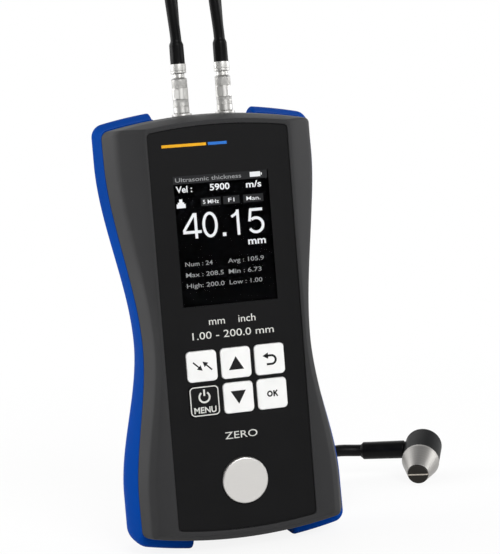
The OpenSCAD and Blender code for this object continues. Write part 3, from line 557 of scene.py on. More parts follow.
def finishes(context):
    """All materials of the gauge, by a short name."""
    if FINISHES:
        return FINISHES
    c, made = context.scene.gauge_colours, FINISHES

    # ABS, moulded in a spark-eroded tool: a dry grey with a fine even grain and a soft sheen at grazing light.
    # The real grain of about 0.2 mm is too fine to show and is drawn at 0.7 mm.
    made["shell"] = grained("Moulded ABS grey", c.shell, 0.62, (0.7, 0.03, 0.35), (24, 0.06), (0.58, 0.68),
                            Specular_IOR_Level=0.18)

    # Thermoplastic elastomer, moulded: saturated blue, satin, with slow rubbed patches where hands hold it.
    made["bumper"] = grained("Elastomer blue", c.bumper, 0.55, (0.9, 0.02, 0.25), (30, 0.08), (0.44, 0.58),
                             Specular_IOR_Level=0.004)

    # Polyester film, printed black on its back and matt on its face: near black with a faint silky grain.
    made["film"] = grained("Polyester film black", c.film, 0.48, (0.8, 0.01, 0.2), (18, 0.1), (0.42, 0.54),
                           Specular_IOR_Level=0.1)

    # Screen print on the film: matt ink, slightly uneven in cover.
    for name, label, base in (("print", "Screen print white", c.print), ("amber", "Screen print amber", c.amber),
                              ("blue", "Screen print blue", linear("#2a6cc0")), ("ink", "Screen print black", c.ink)):
        made[name] = grained(label, base, 0.6, (0.5, 0.005, 0.2), (3, 0.05), Specular_IOR_Level=0.15)

    # Silicone keys, moulded and coated: soft white or black with a very fine orange peel.
    made["key"] = grained("Coated silicone white", c.key, 0.5, (0.6, 0.01, 0.2), (6, 0.02), (0.44, 0.56),
                          Specular_IOR_Level=0.3)
    made["black_key"] = grained("Coated silicone black", linear("#111112"), 0.5, (0.6, 0.01, 0.2), (6, 0.1),
                                (0.44, 0.56), Specular_IOR_Level=0.1)

    # Stainless steel, ground: pale grey, with short fine scratches in one direction (pitch 0.3 mm across, 6 mm along).
    mat, tree, shader = blank("Ground stainless steel", c.steel, 0.38, 1.0)
    where = add(tree, "ShaderNodeTexCoord")
    along = add(tree, "ShaderNodeMapping", {"Vector": where.outputs["Object"]},
                scale=(1 / (6 * MM), 1 / (1 * MM), 1 / (0.3 * MM)))
    lines = add(tree, "ShaderNodeTexNoise", {"Vector": along.outputs["Vector"]}, scale=1.0, detail=3.0)
    vary_roughness(tree, shader, lines, 0.34, 0.5)
    add(tree, "ShaderNodeBump", {"Height": lines.outputs["Fac"]}, ("Normal", shader.inputs["Normal"]), strength=0.15,
        distance=0.01 * MM)
    made["disc"] = mat

    # Stainless steel, turned: fine rings of the tool's feed, drawn along the profile's UV.
    mat, tree, shader = blank("Turned stainless steel", linear("#9f9d9a"), 0.36, 1.0)
    where = add(tree, "ShaderNodeTexCoord")
    rings = add(tree, "ShaderNodeTexWave", {"Vector": where.outputs["UV"]}, wave_type="BANDS", bands_direction="Y",
                scale=3.0, distortion=1.5, detail=2.0)
    vary_roughness(tree, shader, rings, 0.44, 0.54)
    add(tree, "ShaderNodeBump", {"Height": rings.outputs["Fac"]}, ("Normal", shader.inputs["Normal"]), strength=0.06,
        distance=0.01 * MM)
    made["turned"] = mat

    # Brass, nickel-plated and satin: warm pale metal with soft reflections and faint smudges.
    made["nickel"] = grained("Satin nickel plate", c.nickel, 0.36, (0.4, 0.004, 0.15), (4, 0.05), (0.42, 0.52), 1.0)

    # The same plate on a knurl: painted shade in its grooves, given by the piece's own attribute, makes them darker
    # grey.
    mat, tree, shader = blank("Knurled nickel plate", c.nickel, 0.46, 1.0)
    depth = add(tree, "ShaderNodeAttribute", attribute_name="groove")
    tint(tree, shader, "Base Color", depth.outputs["Fac"], c.nickel, scaled(c.nickel, 0.7))
    made["knurl"] = mat

    # PVC jacket, extruded: black, slightly glossy, with dull patches and dust in its grain.
    made["cable"] = grained("Extruded PVC black", c.cable, 0.4, (0.8, 0.02, 0.1), (8, 0.15), (0.34, 0.48),
                            Specular_IOR_Level=0.1)

    # Polyamide cap, moulded and polished: charcoal with a broad soft highlight.
    made["cap"] = grained("Moulded polyamide charcoal", c.cap, 0.42, (0.6, 0.012, 0.25), (9, 0.08), (0.36, 0.5),
                          Specular_IOR_Level=0.05)

    # Epoxy delay lines, lapped flat: dark brown, smooth, a little stained.
    made["line"] = grained("Lapped epoxy brown", linear("#1d1a16"), 0.4, (0.4, 0.006, 0.25), (2.5, 0.2),
                           Specular_IOR_Level=0.2)

    # Cork barrier, pressed: pale tan with small dark cells of about 0.4 mm.
    made["cork"] = grained("Pressed cork", linear("#b6aea2"), 0.8, (0.4, 0.02, 0.4), (0.5, 0.2))

    # Acrylic lens, polished sheet with an anti-reflection coat: clear, only faint reflections show.
    mat, tree, shader = blank("Polished acrylic clear", linear("#f4f6f8"), 0.03, Transmission_Weight=1.0, IOR=1.02)
    grain(tree, shader, 12, 0.004, 0.05)
    made["lens"] = mat

    # Display glass, dark behind the lens: deep black with a faint cold cast and no gloss of its own.
    made["glass"] = grained("Display glass black", linear("#060607"), 0.5, (0.5, 0.002, 0.1), (9, 0.15),
                            Specular_IOR_Level=0.0)

    # Lit display segments: they glow by themselves, in a backlight that is a little uneven over 15 mm.
    for name, label, code, power in (
            ("lit", "Lit segments white", "#ffffff", 1), ("dim", "Lit segments grey", "#b4b4b4", 0.8),
            ("bar", "Lit bars dark grey", "#3b3b3c", 0.7)):
        mat, tree, shader = blank(label, linear("#050505"), 0.4, Specular_IOR_Level=0.0, Emission_Strength=power)
        where = add(tree, "ShaderNodeTexCoord")
        noise = add(tree, "ShaderNodeTexNoise", {"Vector": where.outputs["Object"]}, scale=1 / (15 * MM))
        tint(tree, shader, "Emission Color", noise.outputs["Fac"], scaled(linear(code), 0.9), linear(code))
        made[name] = mat

    # Inner pieces, by what they are: solder mask, shrink wrap, foam, silicone, ceramic, filled resin and plated screws;
    # and the woven strap round the coil.
    for name, label, code, rough, metal in (
            ("board", "Solder mask green", "#1d5a34", 0.4, 0), ("wrap", "Shrink wrap blue", "#27467e", 0.45, 0),
            ("foam", "Foam black", "#1a1a1a", 0.9, 0), ("mat", "Moulded silicone grey", "#b9b8b2", 0.55, 0),
            ("crystal", "Silvered ceramic", "#cfc49a", 0.35, 0), ("backing", "Filled resin brown", "#3a332d", 0.7, 0),
            ("screw", "Zinc-plated steel", "#b9bac0", 0.32, 1), ("strap", "Woven strap black", "#1c1c1d", 0.85, 0)):
        made[name] = grained(label, linear(code), rough, (0.7, 0.02, 0.3), (3, 0.1), metallic=metal)

    return made


def dress(nodes, finish):
    """Gives CAD nodes that stay in view a finish."""
    for name in nodes:
        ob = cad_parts[name]
        ob.data.materials.clear()
        ob.data.materials.append(finish)


# Stage ------------------------------------------------------------------------------------------


SENSOR_MM, FOCAL_PX, PHOTO_HIGH_PX = 36, 1600, 554   # camera, solved from the photograph
CAMERA_AT = np.array([-0.1542, -0.6659, 0.1599])
CAMERA_RIGHT, CAMERA_UP = np.array([0.9653, -0.2492, -0.0782]), np.array([0.0927, 0.0469, 0.9946])
FLOOR_HALF, FLOOR_LINES, FLOOR_Z = 4, 24, -0.00005   # half a side in metres, grid lines, just below the standing plane
LAMP_AIM = np.array([0, 0, 0.1])
LAMPS = (("key", (0.25, -1.5, 1.0), 0.8, 22.0), ("fill", (1.5, 0.0, 0.5), 0.9, 11.0),   # name, place, side, power
         ("left", (-1.3, 0.45, 0.6), 1.3, 18.0), ("rear", (0.4, 1.3, 0.8), 0.8, 2.5))


def placed_frame(right, up, back, place):
    """Matrix of an object that looks along -back, from three axes and a place."""
    return Matrix([[right[k], up[k], back[k], place[k]] for k in range(3)] + [[0, 0, 0, 1]])


class GAUGE_OT_stage(bpy.types.Operator):
    """Camera at the photograph's place, pale floor, soft studio light"""
    bl_idname = "gauge.stage"
    bl_label = "Stage"

    def execute(self, context):
        scene = context.scene
        scene.view_settings.view_transform = "Standard"
        data = bpy.data.cameras.new("Camera")
        data.sensor_width, data.lens = SENSOR_MM, SENSOR_MM * FOCAL_PX / PHOTO_HIGH_PX
        data.clip_start, data.clip_end = 0.01, 50
        camera = bpy.data.objects.new("Camera", data)
        camera.matrix_world = placed_frame(CAMERA_RIGHT, CAMERA_UP, np.cross(CAMERA_RIGHT, CAMERA_UP), CAMERA_AT)
        context.collection.objects.link(camera)
        scene.camera = camera

        # Paper floor: plain white; the eye and reflections see it near white, with the object's soft shadow on it.
        mat, tree, shader = blank("Paper white", linear("#eaeae9"), 0.9)
        path = add(tree, "ShaderNodeLightPath")
        direct = add(tree, "ShaderNodeMath", {0: path.outputs["Is Camera Ray"], 1: path.outputs["Is Glossy Ray"]},
                     operation="MAXIMUM")
        seen = add(tree, "ShaderNodeMath", {0: direct.outputs["Value"], 1: path.outputs["Is Transmission Ray"]},
                   operation="MAXIMUM")
        where = add(tree, "ShaderNodeTexCoord")
        reach = add(tree, "ShaderNodeVectorMath", {0: where.outputs["Object"]}, operation="LENGTH")
        spread = add(tree, "ShaderNodeMapRange", {"Value": reach.outputs["Value"]}, interpolation_type="SMOOTHSTEP",
                     from_min=0.15, from_max=0.7, to_min=0.88, to_max=1.0)
        share = add(tree, "ShaderNodeMath", {0: seen.outputs["Value"], 1: spread.outputs["Result"]},
                    operation="MULTIPLY")
        glow = add(tree, "ShaderNodeEmission", color=(1, 1, 1, 1), strength=1.0)
        add(tree, "ShaderNodeMixShader",
            {0: share.outputs["Value"], 1: shader.outputs["BSDF"], 2: glow.outputs["Emission"]},
            ("Shader", tree.nodes["Material Output"].inputs["Surface"]))
        side = np.linspace(-FLOOR_HALF, FLOOR_HALF, FLOOR_LINES)
        x, y = np.meshgrid(side, side, indexing="ij")
        points, faces, _ = skin(np.stack([x, y, np.full_like(x, FLOOR_Z)], -1), around=False, flip=True)
        me = bpy.data.meshes.new("floor")
        me.from_pydata(points.tolist(), [], faces)
        me.materials.append(mat)
        floor = bpy.data.objects.new("floor", me)
        context.collection.objects.link(floor)

        # White backdrop behind the object, a dim room in front of it: the direction's Y sets the level that lights and
        # reflections see, and the eye sees white.
        world = bpy.data.worlds.new("Studio")
        world.use_nodes = True
        scene.world = world
        tree = world.node_tree
        path = add(tree, "ShaderNodeLightPath")
        where = add(tree, "ShaderNodeTexCoord")
        parts = add(tree, "ShaderNodeSeparateXYZ", {"Vector": where.outputs["Generated"]})
        room = add(tree, "ShaderNodeMapRange", {"Value": parts.outputs["Y"]}, interpolation_type="SMOOTHSTEP",
                   from_min=-0.1, from_max=0.65, to_min=0.16, to_max=1.0)
        seen = add(tree, "ShaderNodeMath", {0: path.outputs["Is Camera Ray"], 1: path.outputs["Is Transmission Ray"]},
                   operation="MAXIMUM")
        backdrop = tree.nodes["Background"]
        backdrop.inputs["Color"].default_value = (1, 1, 1, 1)
        add(tree, "ShaderNodeMath", {0: seen.outputs["Value"], 1: room.outputs["Result"]},
            ("Value", backdrop.inputs["Strength"]), operation="MAXIMUM")

        for name, place, size, power in LAMPS:
            lamp = bpy.data.lights.new(name, "AREA")
            lamp.size, lamp.energy = size, power
            ob = bpy.data.objects.new(name, lamp)
            back = (place - LAMP_AIM) / np.linalg.norm(place - LAMP_AIM)
            right = np.cross([0, 0, 1], back)
            right /= np.linalg.norm(right)
            ob.matrix_world = placed_frame(right, np.cross(back, right), back, place)
            context.collection.objects.link(ob)
        return {"FINISHED"}


# Cable ------------------------------------------------------------------------------------------

# Routes in millimetres, each from where it leaves a piece
LEFT_ROUTE = [(-9.5, 3.3, 207.5), (-9.5, 3.3, 217.4), (-10.8, 3.3, 239.6), (-8, 12.5, 262.2), (-2.7, 34.6, 271.6),
              (2, 56.7, 262.2), (4, 65.9, 239.6), (4, 65.9, 214), (4.3, 65.9, 190), (7.4, 65.8, 166), (11, 65.7, 148),
              (11.2, 65.7, 140)]
RIGHT_ROUTE = [(9.5, 3.3, 207.5), (9.5, 3.3, 217.4), (8.2, 3.3, 239.6), (11.2, 12.4, 262.2), (17.1, 34.4, 271.6),
               (22.5, 56.3, 262.2), (24.7, 65.5, 239.6), (24.7, 65.5, 214), (24.4, 65.6, 190), (21.4, 65.7, 166),
               (17.8, 65.7, 148), (17.6, 65.7, 140)]
DROP_ROUTE = [(14.4, 65.7, 114), (14.4, 65.7, 104), (14.2, 65.2, 84), (13.3, 63.2, 64), (12.3, 59, 47.5),
              (13.5, 52.4, 34.5), (18.7, 45.9, 25.2), (26.8, 42.8, 19), (35.3, 43.9, 15.2)]
TAIL_ROUTE = [(56.1, 62, 9.3), (56.3, 69, 9.5), (56.2, 76.7, 10.2), (58.1, 85.2, 11.4), (62.8, 92.5, 12.9),
              (69.8, 97.5, 14), (78.2, 99.8, 14), (86.8, 99, 13.25)]
COIL_AT, COIL_RADIUS, COIL_TURNS = (28, 65), 25, 3   # middle of the coil, middle of its turns
COIL_STEPS = [0, 0.3, 1.0, 1.2, 1.9, 2.1, 2.8, 2.95, 3.03]   # turns at which the next two lists are given, then its end
COIL_RADII = [22.4, 22.05, 22.05, 22.05, 22.05, 27.95, 27.95, 28, 28.1, 28.2]
COIL_HEIGHTS = [15.2, 9, 9, 3.05, 3.05, 3.05, 3.05, 8.2, 9.3, 9.3]
SPLITTER_AT, SPLITTER_HIGH, SPLITTER_EDGE = (14.4, 65.7, 114), 26, 0.6
STRAP_SPAN, STRAP_HALF, STRAP_LIFT = (0.15, 0.85), 3, 0.1   # faces off the turns, half its width, slack
PROBE_FOOT, PROBE_TURN = (105.8, 62.3), 62   # point under the contact face, turn in degrees
CAP_START, BOOT_UP, BOOT_GAP = 1, 11.9, 0.2   # cap after the cone, boot's axis along the cap, boot off the cap
CABLE_IN = 6                                  # cable inside the boot


def probe_frame(g):
    """Axes and base of the probe, which lies on its cone: X across the barrier, Y to the cable boot, Z from the face to
    the back. It leans by the cone's angle, atan of the difference of its radii over its length."""
    lean = math.atan((g.ferrule_diameter - g.tip_diameter) / 2 / (g.cone_length + g.tip_out))
    a, t = math.pi / 2 - lean, math.radians(PROBE_TURN)
    tilt = np.array([[math.cos(a), 0, math.sin(a)], [0, 1, 0], [-math.sin(a), 0, math.cos(a)]])
    turn = np.array([[math.cos(t), -math.sin(t), 0], [math.sin(t), math.cos(t), 0], [0, 0, 1]])
    return turn @ tilt, np.array([*PROBE_FOOT, g.tip_diameter / 2 * math.cos(lean)])


def coil_angle(point):
    """Angle of a route's point round the coil."""
    return math.atan2(point[1] - COIL_AT[1], point[0] - COIL_AT[0])


def cable_path(g):
    """Centreline of the probe cable: down to the coil, round it in turns that lie beside and on each other, and on to
    the probe's boot. Radius and height of the coil are straight between their steps, then averaged over nine points."""
    turn, base = probe_frame(g)
    side = turn[:, 1]
    end = base + turn[:, 2] * (g.cap_z + BOOT_UP) + side * (g.cap_diameter / 2 + BOOT_GAP + g.boot_length - CABLE_IN)
    enter = coil_angle(DROP_ROUTE[-1])
    turns = COIL_TURNS + (coil_angle(TAIL_ROUTE[0]) - enter) / (2 * math.pi)
    t = np.linspace(0, turns, 150)[1:-1]

    def smooth(values):
        straight = np.interp(t, COIL_STEPS + [turns], values)
        return np.convolve(np.pad(straight, 4, "reflect", reflect_type="odd"), np.ones(9) / 9, "valid")

    r, z, a = smooth(COIL_RADII), smooth(COIL_HEIGHTS), enter + t * 2 * math.pi
    coil = np.stack([COIL_AT[0] + r * np.cos(a), COIL_AT[1] + r * np.sin(a), z], 1)
    down = curve_through(DROP_ROUTE, 6, after=coil[2])
    away = curve_through(TAIL_ROUTE + [tuple(end)], 6, before=coil[-2], after=end - side * 9)
    return np.vstack([down, coil, away])


def cord_curve(name, path, diameter, finish):
    """One open spline along a path, with a round section."""
    data = bpy.data.curves.new(name, "CURVE")
    data.dimensions, data.use_fill_caps = "3D", True
    data.bevel_depth, data.bevel_resolution = diameter / 2 * MM, 8
    s = data.splines.new("POLY")
    s.points.add(len(path) - 1)
    s.points.foreach_set("co", np.column_stack([path * MM, np.ones(len(path))]).ravel())
    s.use_smooth = True
    data.materials.append(finish)
    ob = bpy.data.objects.new(name, data)
    bpy.context.collection.objects.link(ob)
    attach(ob, ROOT)
    return ob


class GAUGE_OT_cable(bpy.types.Operator):
    """Two leads, their splitter, the coiled probe cable and its tie"""
    bl_idname = "gauge.cable"
    bl_label = "Cable"

    def execute(self, context):
        g, f = sizes(context), finishes(context)
        # Splitter: stadium sections whose half length and radius change along its height by smooth steps, with edges
        # rounded by a quarter circle and grooves over its lower part
        top, edge = SPLITTER_HIGH, SPLITTER_EDGE
        h = np.concatenate([np.linspace(0, edge, 4), np.linspace(1, top - 1, 40), np.linspace(top - edge, top, 4)])
        inwards = (1 - np.minimum(h, top - h) / edge).clip(0, 1)
        radius = 4.15 - 0.3 * ease((h - 3) / 9) - edge * (1 - np.sqrt(1 - inwards ** 2))
        radius -= 0.18 * (np.cos(h * 2 * np.pi / 2.4) > 0.3) * (h < 10) * (h > 1.5)
        half = 3.2 * ease((h - 2) / 10)
        a = full_turn(48)
        rings = np.stack([radius[:, None] * np.cos(a) + half[:, None] * np.sign(np.round(np.cos(a), 9)),
                          radius[:, None] * np.sin(a), np.repeat(h[:, None], len(a), 1)], -1) + SPLITTER_AT
        splitter = piece("splitter_mould", skin(rings, first=True, last=True), f["cable"], nodes=["lead_splitter"],
                         sharp=50)

        # Tie: a strap over the coil's three turns, the hull of their circles: for each normal the farthest centre,
        # moved along the normal
        r = g.cable_diameter / 2
        a = np.radians(np.linspace(225, -45, 55))
        normal = np.stack([np.cos(a), np.sin(a)], 1)
        turns = np.array([(r, r), (-r, r), (r, 3 * r)]) + [0, STRAP_LIFT]
        far = turns[np.argmax(normal @ turns.T, 1)]
        inner, outer = STRAP_SPAN
        bands = []
        for off, across in ((inner, -STRAP_HALF), (outer, -STRAP_HALF), (outer, STRAP_HALF), (inner, STRAP_HALF)):
            band = at_depth(far + normal * (r + off), 0)
            bands.append(band + [COIL_AT[0] - COIL_RADIUS, COIL_AT[1] + across, 0])
        points, faces, _ = skin(np.stack(bands), around=False, along=True)
        starts = [k * len(a) for k in range(len(bands))]
        faces += [starts, [k + len(a) - 1 for k in starts][::-1]]
        tie = piece("coil_strap", (points, faces), f["strap"], nodes=["coil_tie"], sharp=40)

        for side, route in (("left", LEFT_ROUTE), ("right", RIGHT_ROUTE)):
            start = (route[0][0], g.socket_y, g.lead_z)
            path = curve_through([start] + route[1:], 8)
            lead = cord_curve(side + "_lead_jacket", path, g.lead_diameter, f["cable"])
            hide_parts(side + "_lead")
        path = cable_path(g)
        cable = cord_curve("probe_cable_jacket", path, g.cable_diameter, f["cable"])
        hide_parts("cable_drop", "cable_coil", "cable_tail")
        return {"FINISHED"}


# Housing ----------------------------------------------------------------------------------------


RIM_INSET, CREASE_INSET = (6, 5.1, 14.6, 3.4), (2.8, 2.5, 3.6, 0.9)   # rim and crease in from the housing's section
RIM_POWER = 1.15                   # how the rim's slope falls back to the crease
CREASE_SHARE = 0.22                # share of the flank that the rounded crease takes
POCKET_CLEAR, LIP_CLEAR = 0.15, 0.5   # round the overlay, at the pocket's floor and at its softened edge
PART_EDGE = 0.25                   # softened edge at the parting line
SLOT_SPAN = (2.62, 6.52)           # charging socket's slot behind the parting plane
SHELL_GAP = 0.12                   # between the front and the back shell
ROLL_IN, ROLL_DEEP = 4.6, 6        # rolled edge of the back: inwards and in depth
WELL_RADIUS, WELL_DEEP = 2.7, 3    # recesses of the case screws
RIB_WIDE, RIB_START = 1.2, 9.15    # ribs of the sole: width, start behind the front shell's skirt
BUMPER_CLEAR = 0.15                # bumpers off the shells
TAB_ROUND, TAB_LEAST = 1.3, 0.4    # radius of the tabs' ends, least height that they keep


def rolled(a):
    """How far the back's rolled edge lies in at an angle of its quarter ellipse, and how far in front of the plate."""
    return ROLL_IN * (1 - math.cos(a)), ROLL_DEEP * (1 - math.sin(a))


class GAUGE_OT_housing(bpy.types.Operator):
    """Front and back shell"""
    bl_idname = "gauge.housing"
    bl_label = "Housing"

    def execute(self, context):
        g, f = sizes(context), finishes(context)
        pocket, lipped = whole(overlay_outline(g, POCKET_CLEAR)), whole(overlay_outline(g, LIP_CLEAR))
        rings = [at_depth(pocket, g.y_pocket), at_depth(pocket, g.y_rim + 0.35),
                 at_depth(pocket + (lipped - pocket) * 0.3, g.y_rim + 0.1), at_depth(lipped, g.y_rim)]
        # Front rim: sections from the rim to the crease, falling back by a power of their share; then the flank to the
        # parting plane. The crease is rounded by a quadratic curve between the two,
        # start (1 - t)^2 + crease 2t(1 - t) + stop t^2.
        rim, crease = inset(g.grey, *RIM_INSET), inset(g.grey, *CREASE_INSET)
        slope = []
        for t in np.append(np.linspace(0, 0.84, 10), 1):
            h = whole(half_outline(g, rim + (crease - rim) * t))
            slope.append(at_depth(h, g.y_rim + (crease_y(g, h[:, 1]) - g.y_rim) * t ** RIM_POWER))
        a, b = slope[-1], whole(half_outline(g, g.grey))
        b = at_depth(b, part_y(g, b[:, 1]))
        start, stop = slope[-2], a + (b - a) * CREASE_SHARE
        rings += slope[:-1]
        rings += [start * (1 - t) ** 2 + a * 2 * t * (1 - t) + stop * t ** 2 for t in np.linspace(0, 1, 8)[1:]]
        rings += [a + (b - a) * t for t in np.linspace(CREASE_SHARE, 1, 7)[1:]]
        rings[-1] = rings[-2] + (rings[-1] - rings[-2]) * 0.85
        soft, core = (whole(half_outline(g, section)) for section in (inset(g.grey, PART_EDGE), g.core))
        rings.append(at_depth(soft, part_y(g, soft[:, 1])))
        for d in (0, *SLOT_SPAN, g.skirt):
            rings.append(at_depth(core, part_y(g, core[:, 1]) + d))
        n, slot_ring = len(core), len(rings) - 3

        def keep(j, i):
            """Leaves the charging socket's slot open in the lower end: two columns each side of the middle."""
            return ~((j == slot_ring) & ((i < 2) | (i >= n - 2)))

        piece("front_shell_moulding", skin(np.stack(rings), flip=True, keep=keep), f["shell"], nodes=["front_shell"],
              sharp=32)

        # Back shell: the core's section, rolled in to the plate by a quarter ellipse; screw wells; lands of the sole
        rings = [at_depth(core, part_y(g, core[:, 1]) + g.skirt + SHELL_GAP), at_depth(core, g.y_plate - ROLL_DEEP)]
        for a in np.linspace(0, np.pi / 2, 12)[1:]:
            d, ahead = rolled(a)
            h = whole(half_outline(g, inset(g.core, d)))
            rings.append(at_depth(h, g.y_plate - ahead))
        shell = skin(np.stack(rings), flip=True)
        floor = g.y_plate - WELL_DEEP
        holes = [ellipse(40, x, z, WELL_RADIUS, WELL_RADIUS)
                 for x in (-g.post_x, g.post_x) for z in (g.post_low, g.post_high)]
        wells = [wall(o, floor, g.y_plate, inward=True) for o in holes]
        wells += [filled([o], floor, front=False) for o in holes]
        plate = filled([h] + holes, g.y_plate, front=False)
        edge, top = g.tab_x - g.tab_gap, g.y_plate - ROLL_DEEP
        rib_y, rib_z = part_y(g, g.sole_height + 3) + g.skirt + RIB_START, g.sole_height + 3
        lands = []
        for x0, x1, y0, z1 in ((-edge, edge, top - 2.7, g.sole_height + 2), (-edge, -edge + RIB_WIDE, rib_y, rib_z),
                               (edge - RIB_WIDE, edge, rib_y, rib_z)):
            corners = np.array([[x0, y0], [x1, y0], [x1, top], [x0, top]])
            rings = np.stack([np.column_stack([corners, np.full(4, z)]) for z in (0, z1)])
            lands.append(skin(rings, first=True, last=True))
        piece("back_shell_moulding", merged(shell, plate, *wells, *lands), f["shell"], nodes=["back_shell"],
              sharp=32)
        dress(["case_screws", "board_screws"], f["screw"])
        dress(["charge_socket"], f["nickel"])
        dress(["main_board"], f["board"])
        dress(["battery_pack"], f["wrap"])
        return {"FINISHED"}


class GAUGE_OT_bumpers(bpy.types.Operator):
    """Soft blue bumpers"""
    bl_idname = "gauge.bumpers"
    bl_label = "Bumpers"

    def execute(self, context):
        g, f = sizes(context), finishes(context)
        lip = inset(g.grey, -0.1, -0.1, -0.1, -0.5)
        ridge = g.grey + np.array([g.bulge_foot, g.bulge_waist, g.bulge_top, -g.sole_height - sag(g, g.tab_x),
                                   g.tab_height, 0, 0])
        heel, window = inset(ridge, 5.5, 5, 5.5, 4.5), inset(g.core, 9)

        def strip(s):
            """Right half of a section from tab to tab."""
            return half_outline(g, s)[MID + 1:-MID - 1]

        # Swell from the lip to the ridge, each width by its own power, then roll in to the heel; the top tabs rise
        # later
        rings = []
        rolling = 0.5 + 0.5 * np.sin(np.linspace(0, np.pi / 2, 14)[1:])
        for u in np.concatenate([[0, 0.012, 0.03], np.linspace(0.05, 0.5, 12), rolling]):
            back = 1 - (1 - max(0, 2 * u - 1) ** 1.8) ** 0.55
            w = np.append(1 - (1 - min(1, 2 * u)) ** np.array([1.8, 2.6, 1, 6]), [ease((u - 0.06) / 0.5), 0, 0])
            h = strip(lip + (ridge - lip) * w + (heel - ridge) * back)
            rings.append(at_depth(h, (part_y(g, h[:, 1]) + BUMPER_CLEAR) * (1 - u) + g.y_back * u))
        rings += [at_depth(strip(window), g.y_back), at_depth(strip(window), g.y_plate + BUMPER_CLEAR)]
        # Inner face: the back shell's rolled edge and the seat, each with its clearance
        for a in np.linspace(np.pi / 2, 0, 6):
            d, ahead = rolled(a)
            h = strip(inset(g.core, d - BUMPER_CLEAR))
            rings.append(at_depth(h, g.y_plate - ahead + BUMPER_CLEAR * math.sin(a)))
        seat = strip(inset(g.core, -BUMPER_CLEAR))
        rings.append(at_depth(seat, part_y(g, seat[:, 1]) + BUMPER_CLEAR))
        rings = np.stack(rings)
        # Rounded tab ends: within a radius r of an end the skin sinks towards the seat, by r(1 - sin t) at r(1 - cos t)
        # from the end; the nine rings of the inner face stay
        t = np.linspace(0, np.pi / 2, 6)
        for end, beside, low in ((0, 1, True), (-1, -2, False)):
            a, b = rings[:, end], rings[:, beside]
            share = TAB_ROUND * (1 - np.cos(t)) / np.abs(b[:, 0] - a[:, 0])[:, None]
            extra = a[:, None] + (b - a)[:, None] * share[..., None]
            proud = np.abs(extra[..., 2] - rings[-1:, end, None, 2])
            sink = np.minimum(TAB_ROUND * (1 - np.sin(t)), np.maximum(proud - TAB_LEAST, 0))
            sink[len(rings) - 9:] = 0
            extra[..., 2] += sink if low else -sink
            rings = np.concatenate([extra, rings[:, 1:]] if low else [rings[:, :-1], extra[:, ::-1]], 1)
        m, n = rings.shape[:2]
        for side, sign in (("right", 1), ("left", -1)):
            points, faces, _ = skin(rings * [sign, 1, 1], around=False, along=True, flip=sign > 0)
            for end, back in ((0, sign < 0), (n - 1, sign > 0)):
                loop = (np.arange(m) * n + end).tolist()
                faces.append(loop[::-1] if back else loop)
            piece(side + "_bumper_moulding", (points, faces), f["bumper"], nodes=[side + "_bumper"],
                  sharp=45)
        return {"FINISHED"}


# Front panel ------------------------------------------------------------------------------------


def key_places(g):
    """Centres of the six keys, upper row first, from the left."""
    return [(c * g.key_pitch, g.key_row + r * g.key_pitch) for r in (1, 0) for c in (-1, 0, 1)]


DISC_CLEAR = 0.15        # overlay round the disc
PRINT_PROUD = 0.015      # print in front of the film
ACCENT_Z = (170.3, 171.5)   # edges of the two-coloured bar
READING_UNIT = 0.942     # unit of the display's drawing, in millimetres, from the display's centre
READING_PROUD = 0.03     # bars in front of the glass; the readings lie another 0.01 in front of them
FIGURE_WIDE = 1.25       # stroke of the large reading
BOLD, MEDIUM, REGULAR, LIGHT = 0.02, 0.008, 0.003, 0.002   # how far letters are moved out


class GAUGE_OT_overlay(bpy.types.Operator):
    """Printed front film with its openings and plain print"""
    bl_idname = "gauge.overlay"
    bl_label = "Front overlay"

    def execute(self, context):
        g, f = sizes(context), finishes(context)
        r, w, h = g.disc_diameter / 2 + DISC_CLEAR, g.display_width / 2, g.display_height / 2
        window = np.array([(-w, -h), (w, -h), (w, h), (-w, h)]) + [0, g.display_centre]
        openings = [window, ellipse(72, 0, g.disc_centre, r, r)]
        openings += [rounded_square(g.key_width + 2 * g.key_gap, g.key_radius + g.key_gap) + p for p in key_places(g)]
        outer = whole(overlay_outline(g, 0))
        walls = [wall(o, g.y_overlay, g.y_pocket, inward=True) for o in openings]
        film = merged(filled([outer] + openings, g.y_overlay), wall(outer, g.y_overlay, g.y_pocket), *walls)
        piece("overlay_film", film, f["film"], nodes=["front_overlay"], sharp=30)

        y = g.y_overlay - PRINT_PROUD
        words = [lettering("mm    inch", -10, 10, 95.9, 98.9), lettering("1.00 - 200.0 mm", -17.5, 17.5, 90.2, 93.2),
                 lettering("ZERO", -7, 7, 47.4, 50.3)]
        piece("accent_line", joined([bar(-24, -5.2, *ACCENT_Z)], y), f["amber"])
        piece("accent_line_thin", joined([bar(-4.4, 3.6, *ACCENT_Z)], y), f["blue"])
        piece("overlay_print", joined(words, y), f["print"])
        dress(["display_gasket"], f["foam"])
        dress(["keypad_mat"], f["mat"])
        return {"FINISHED"}


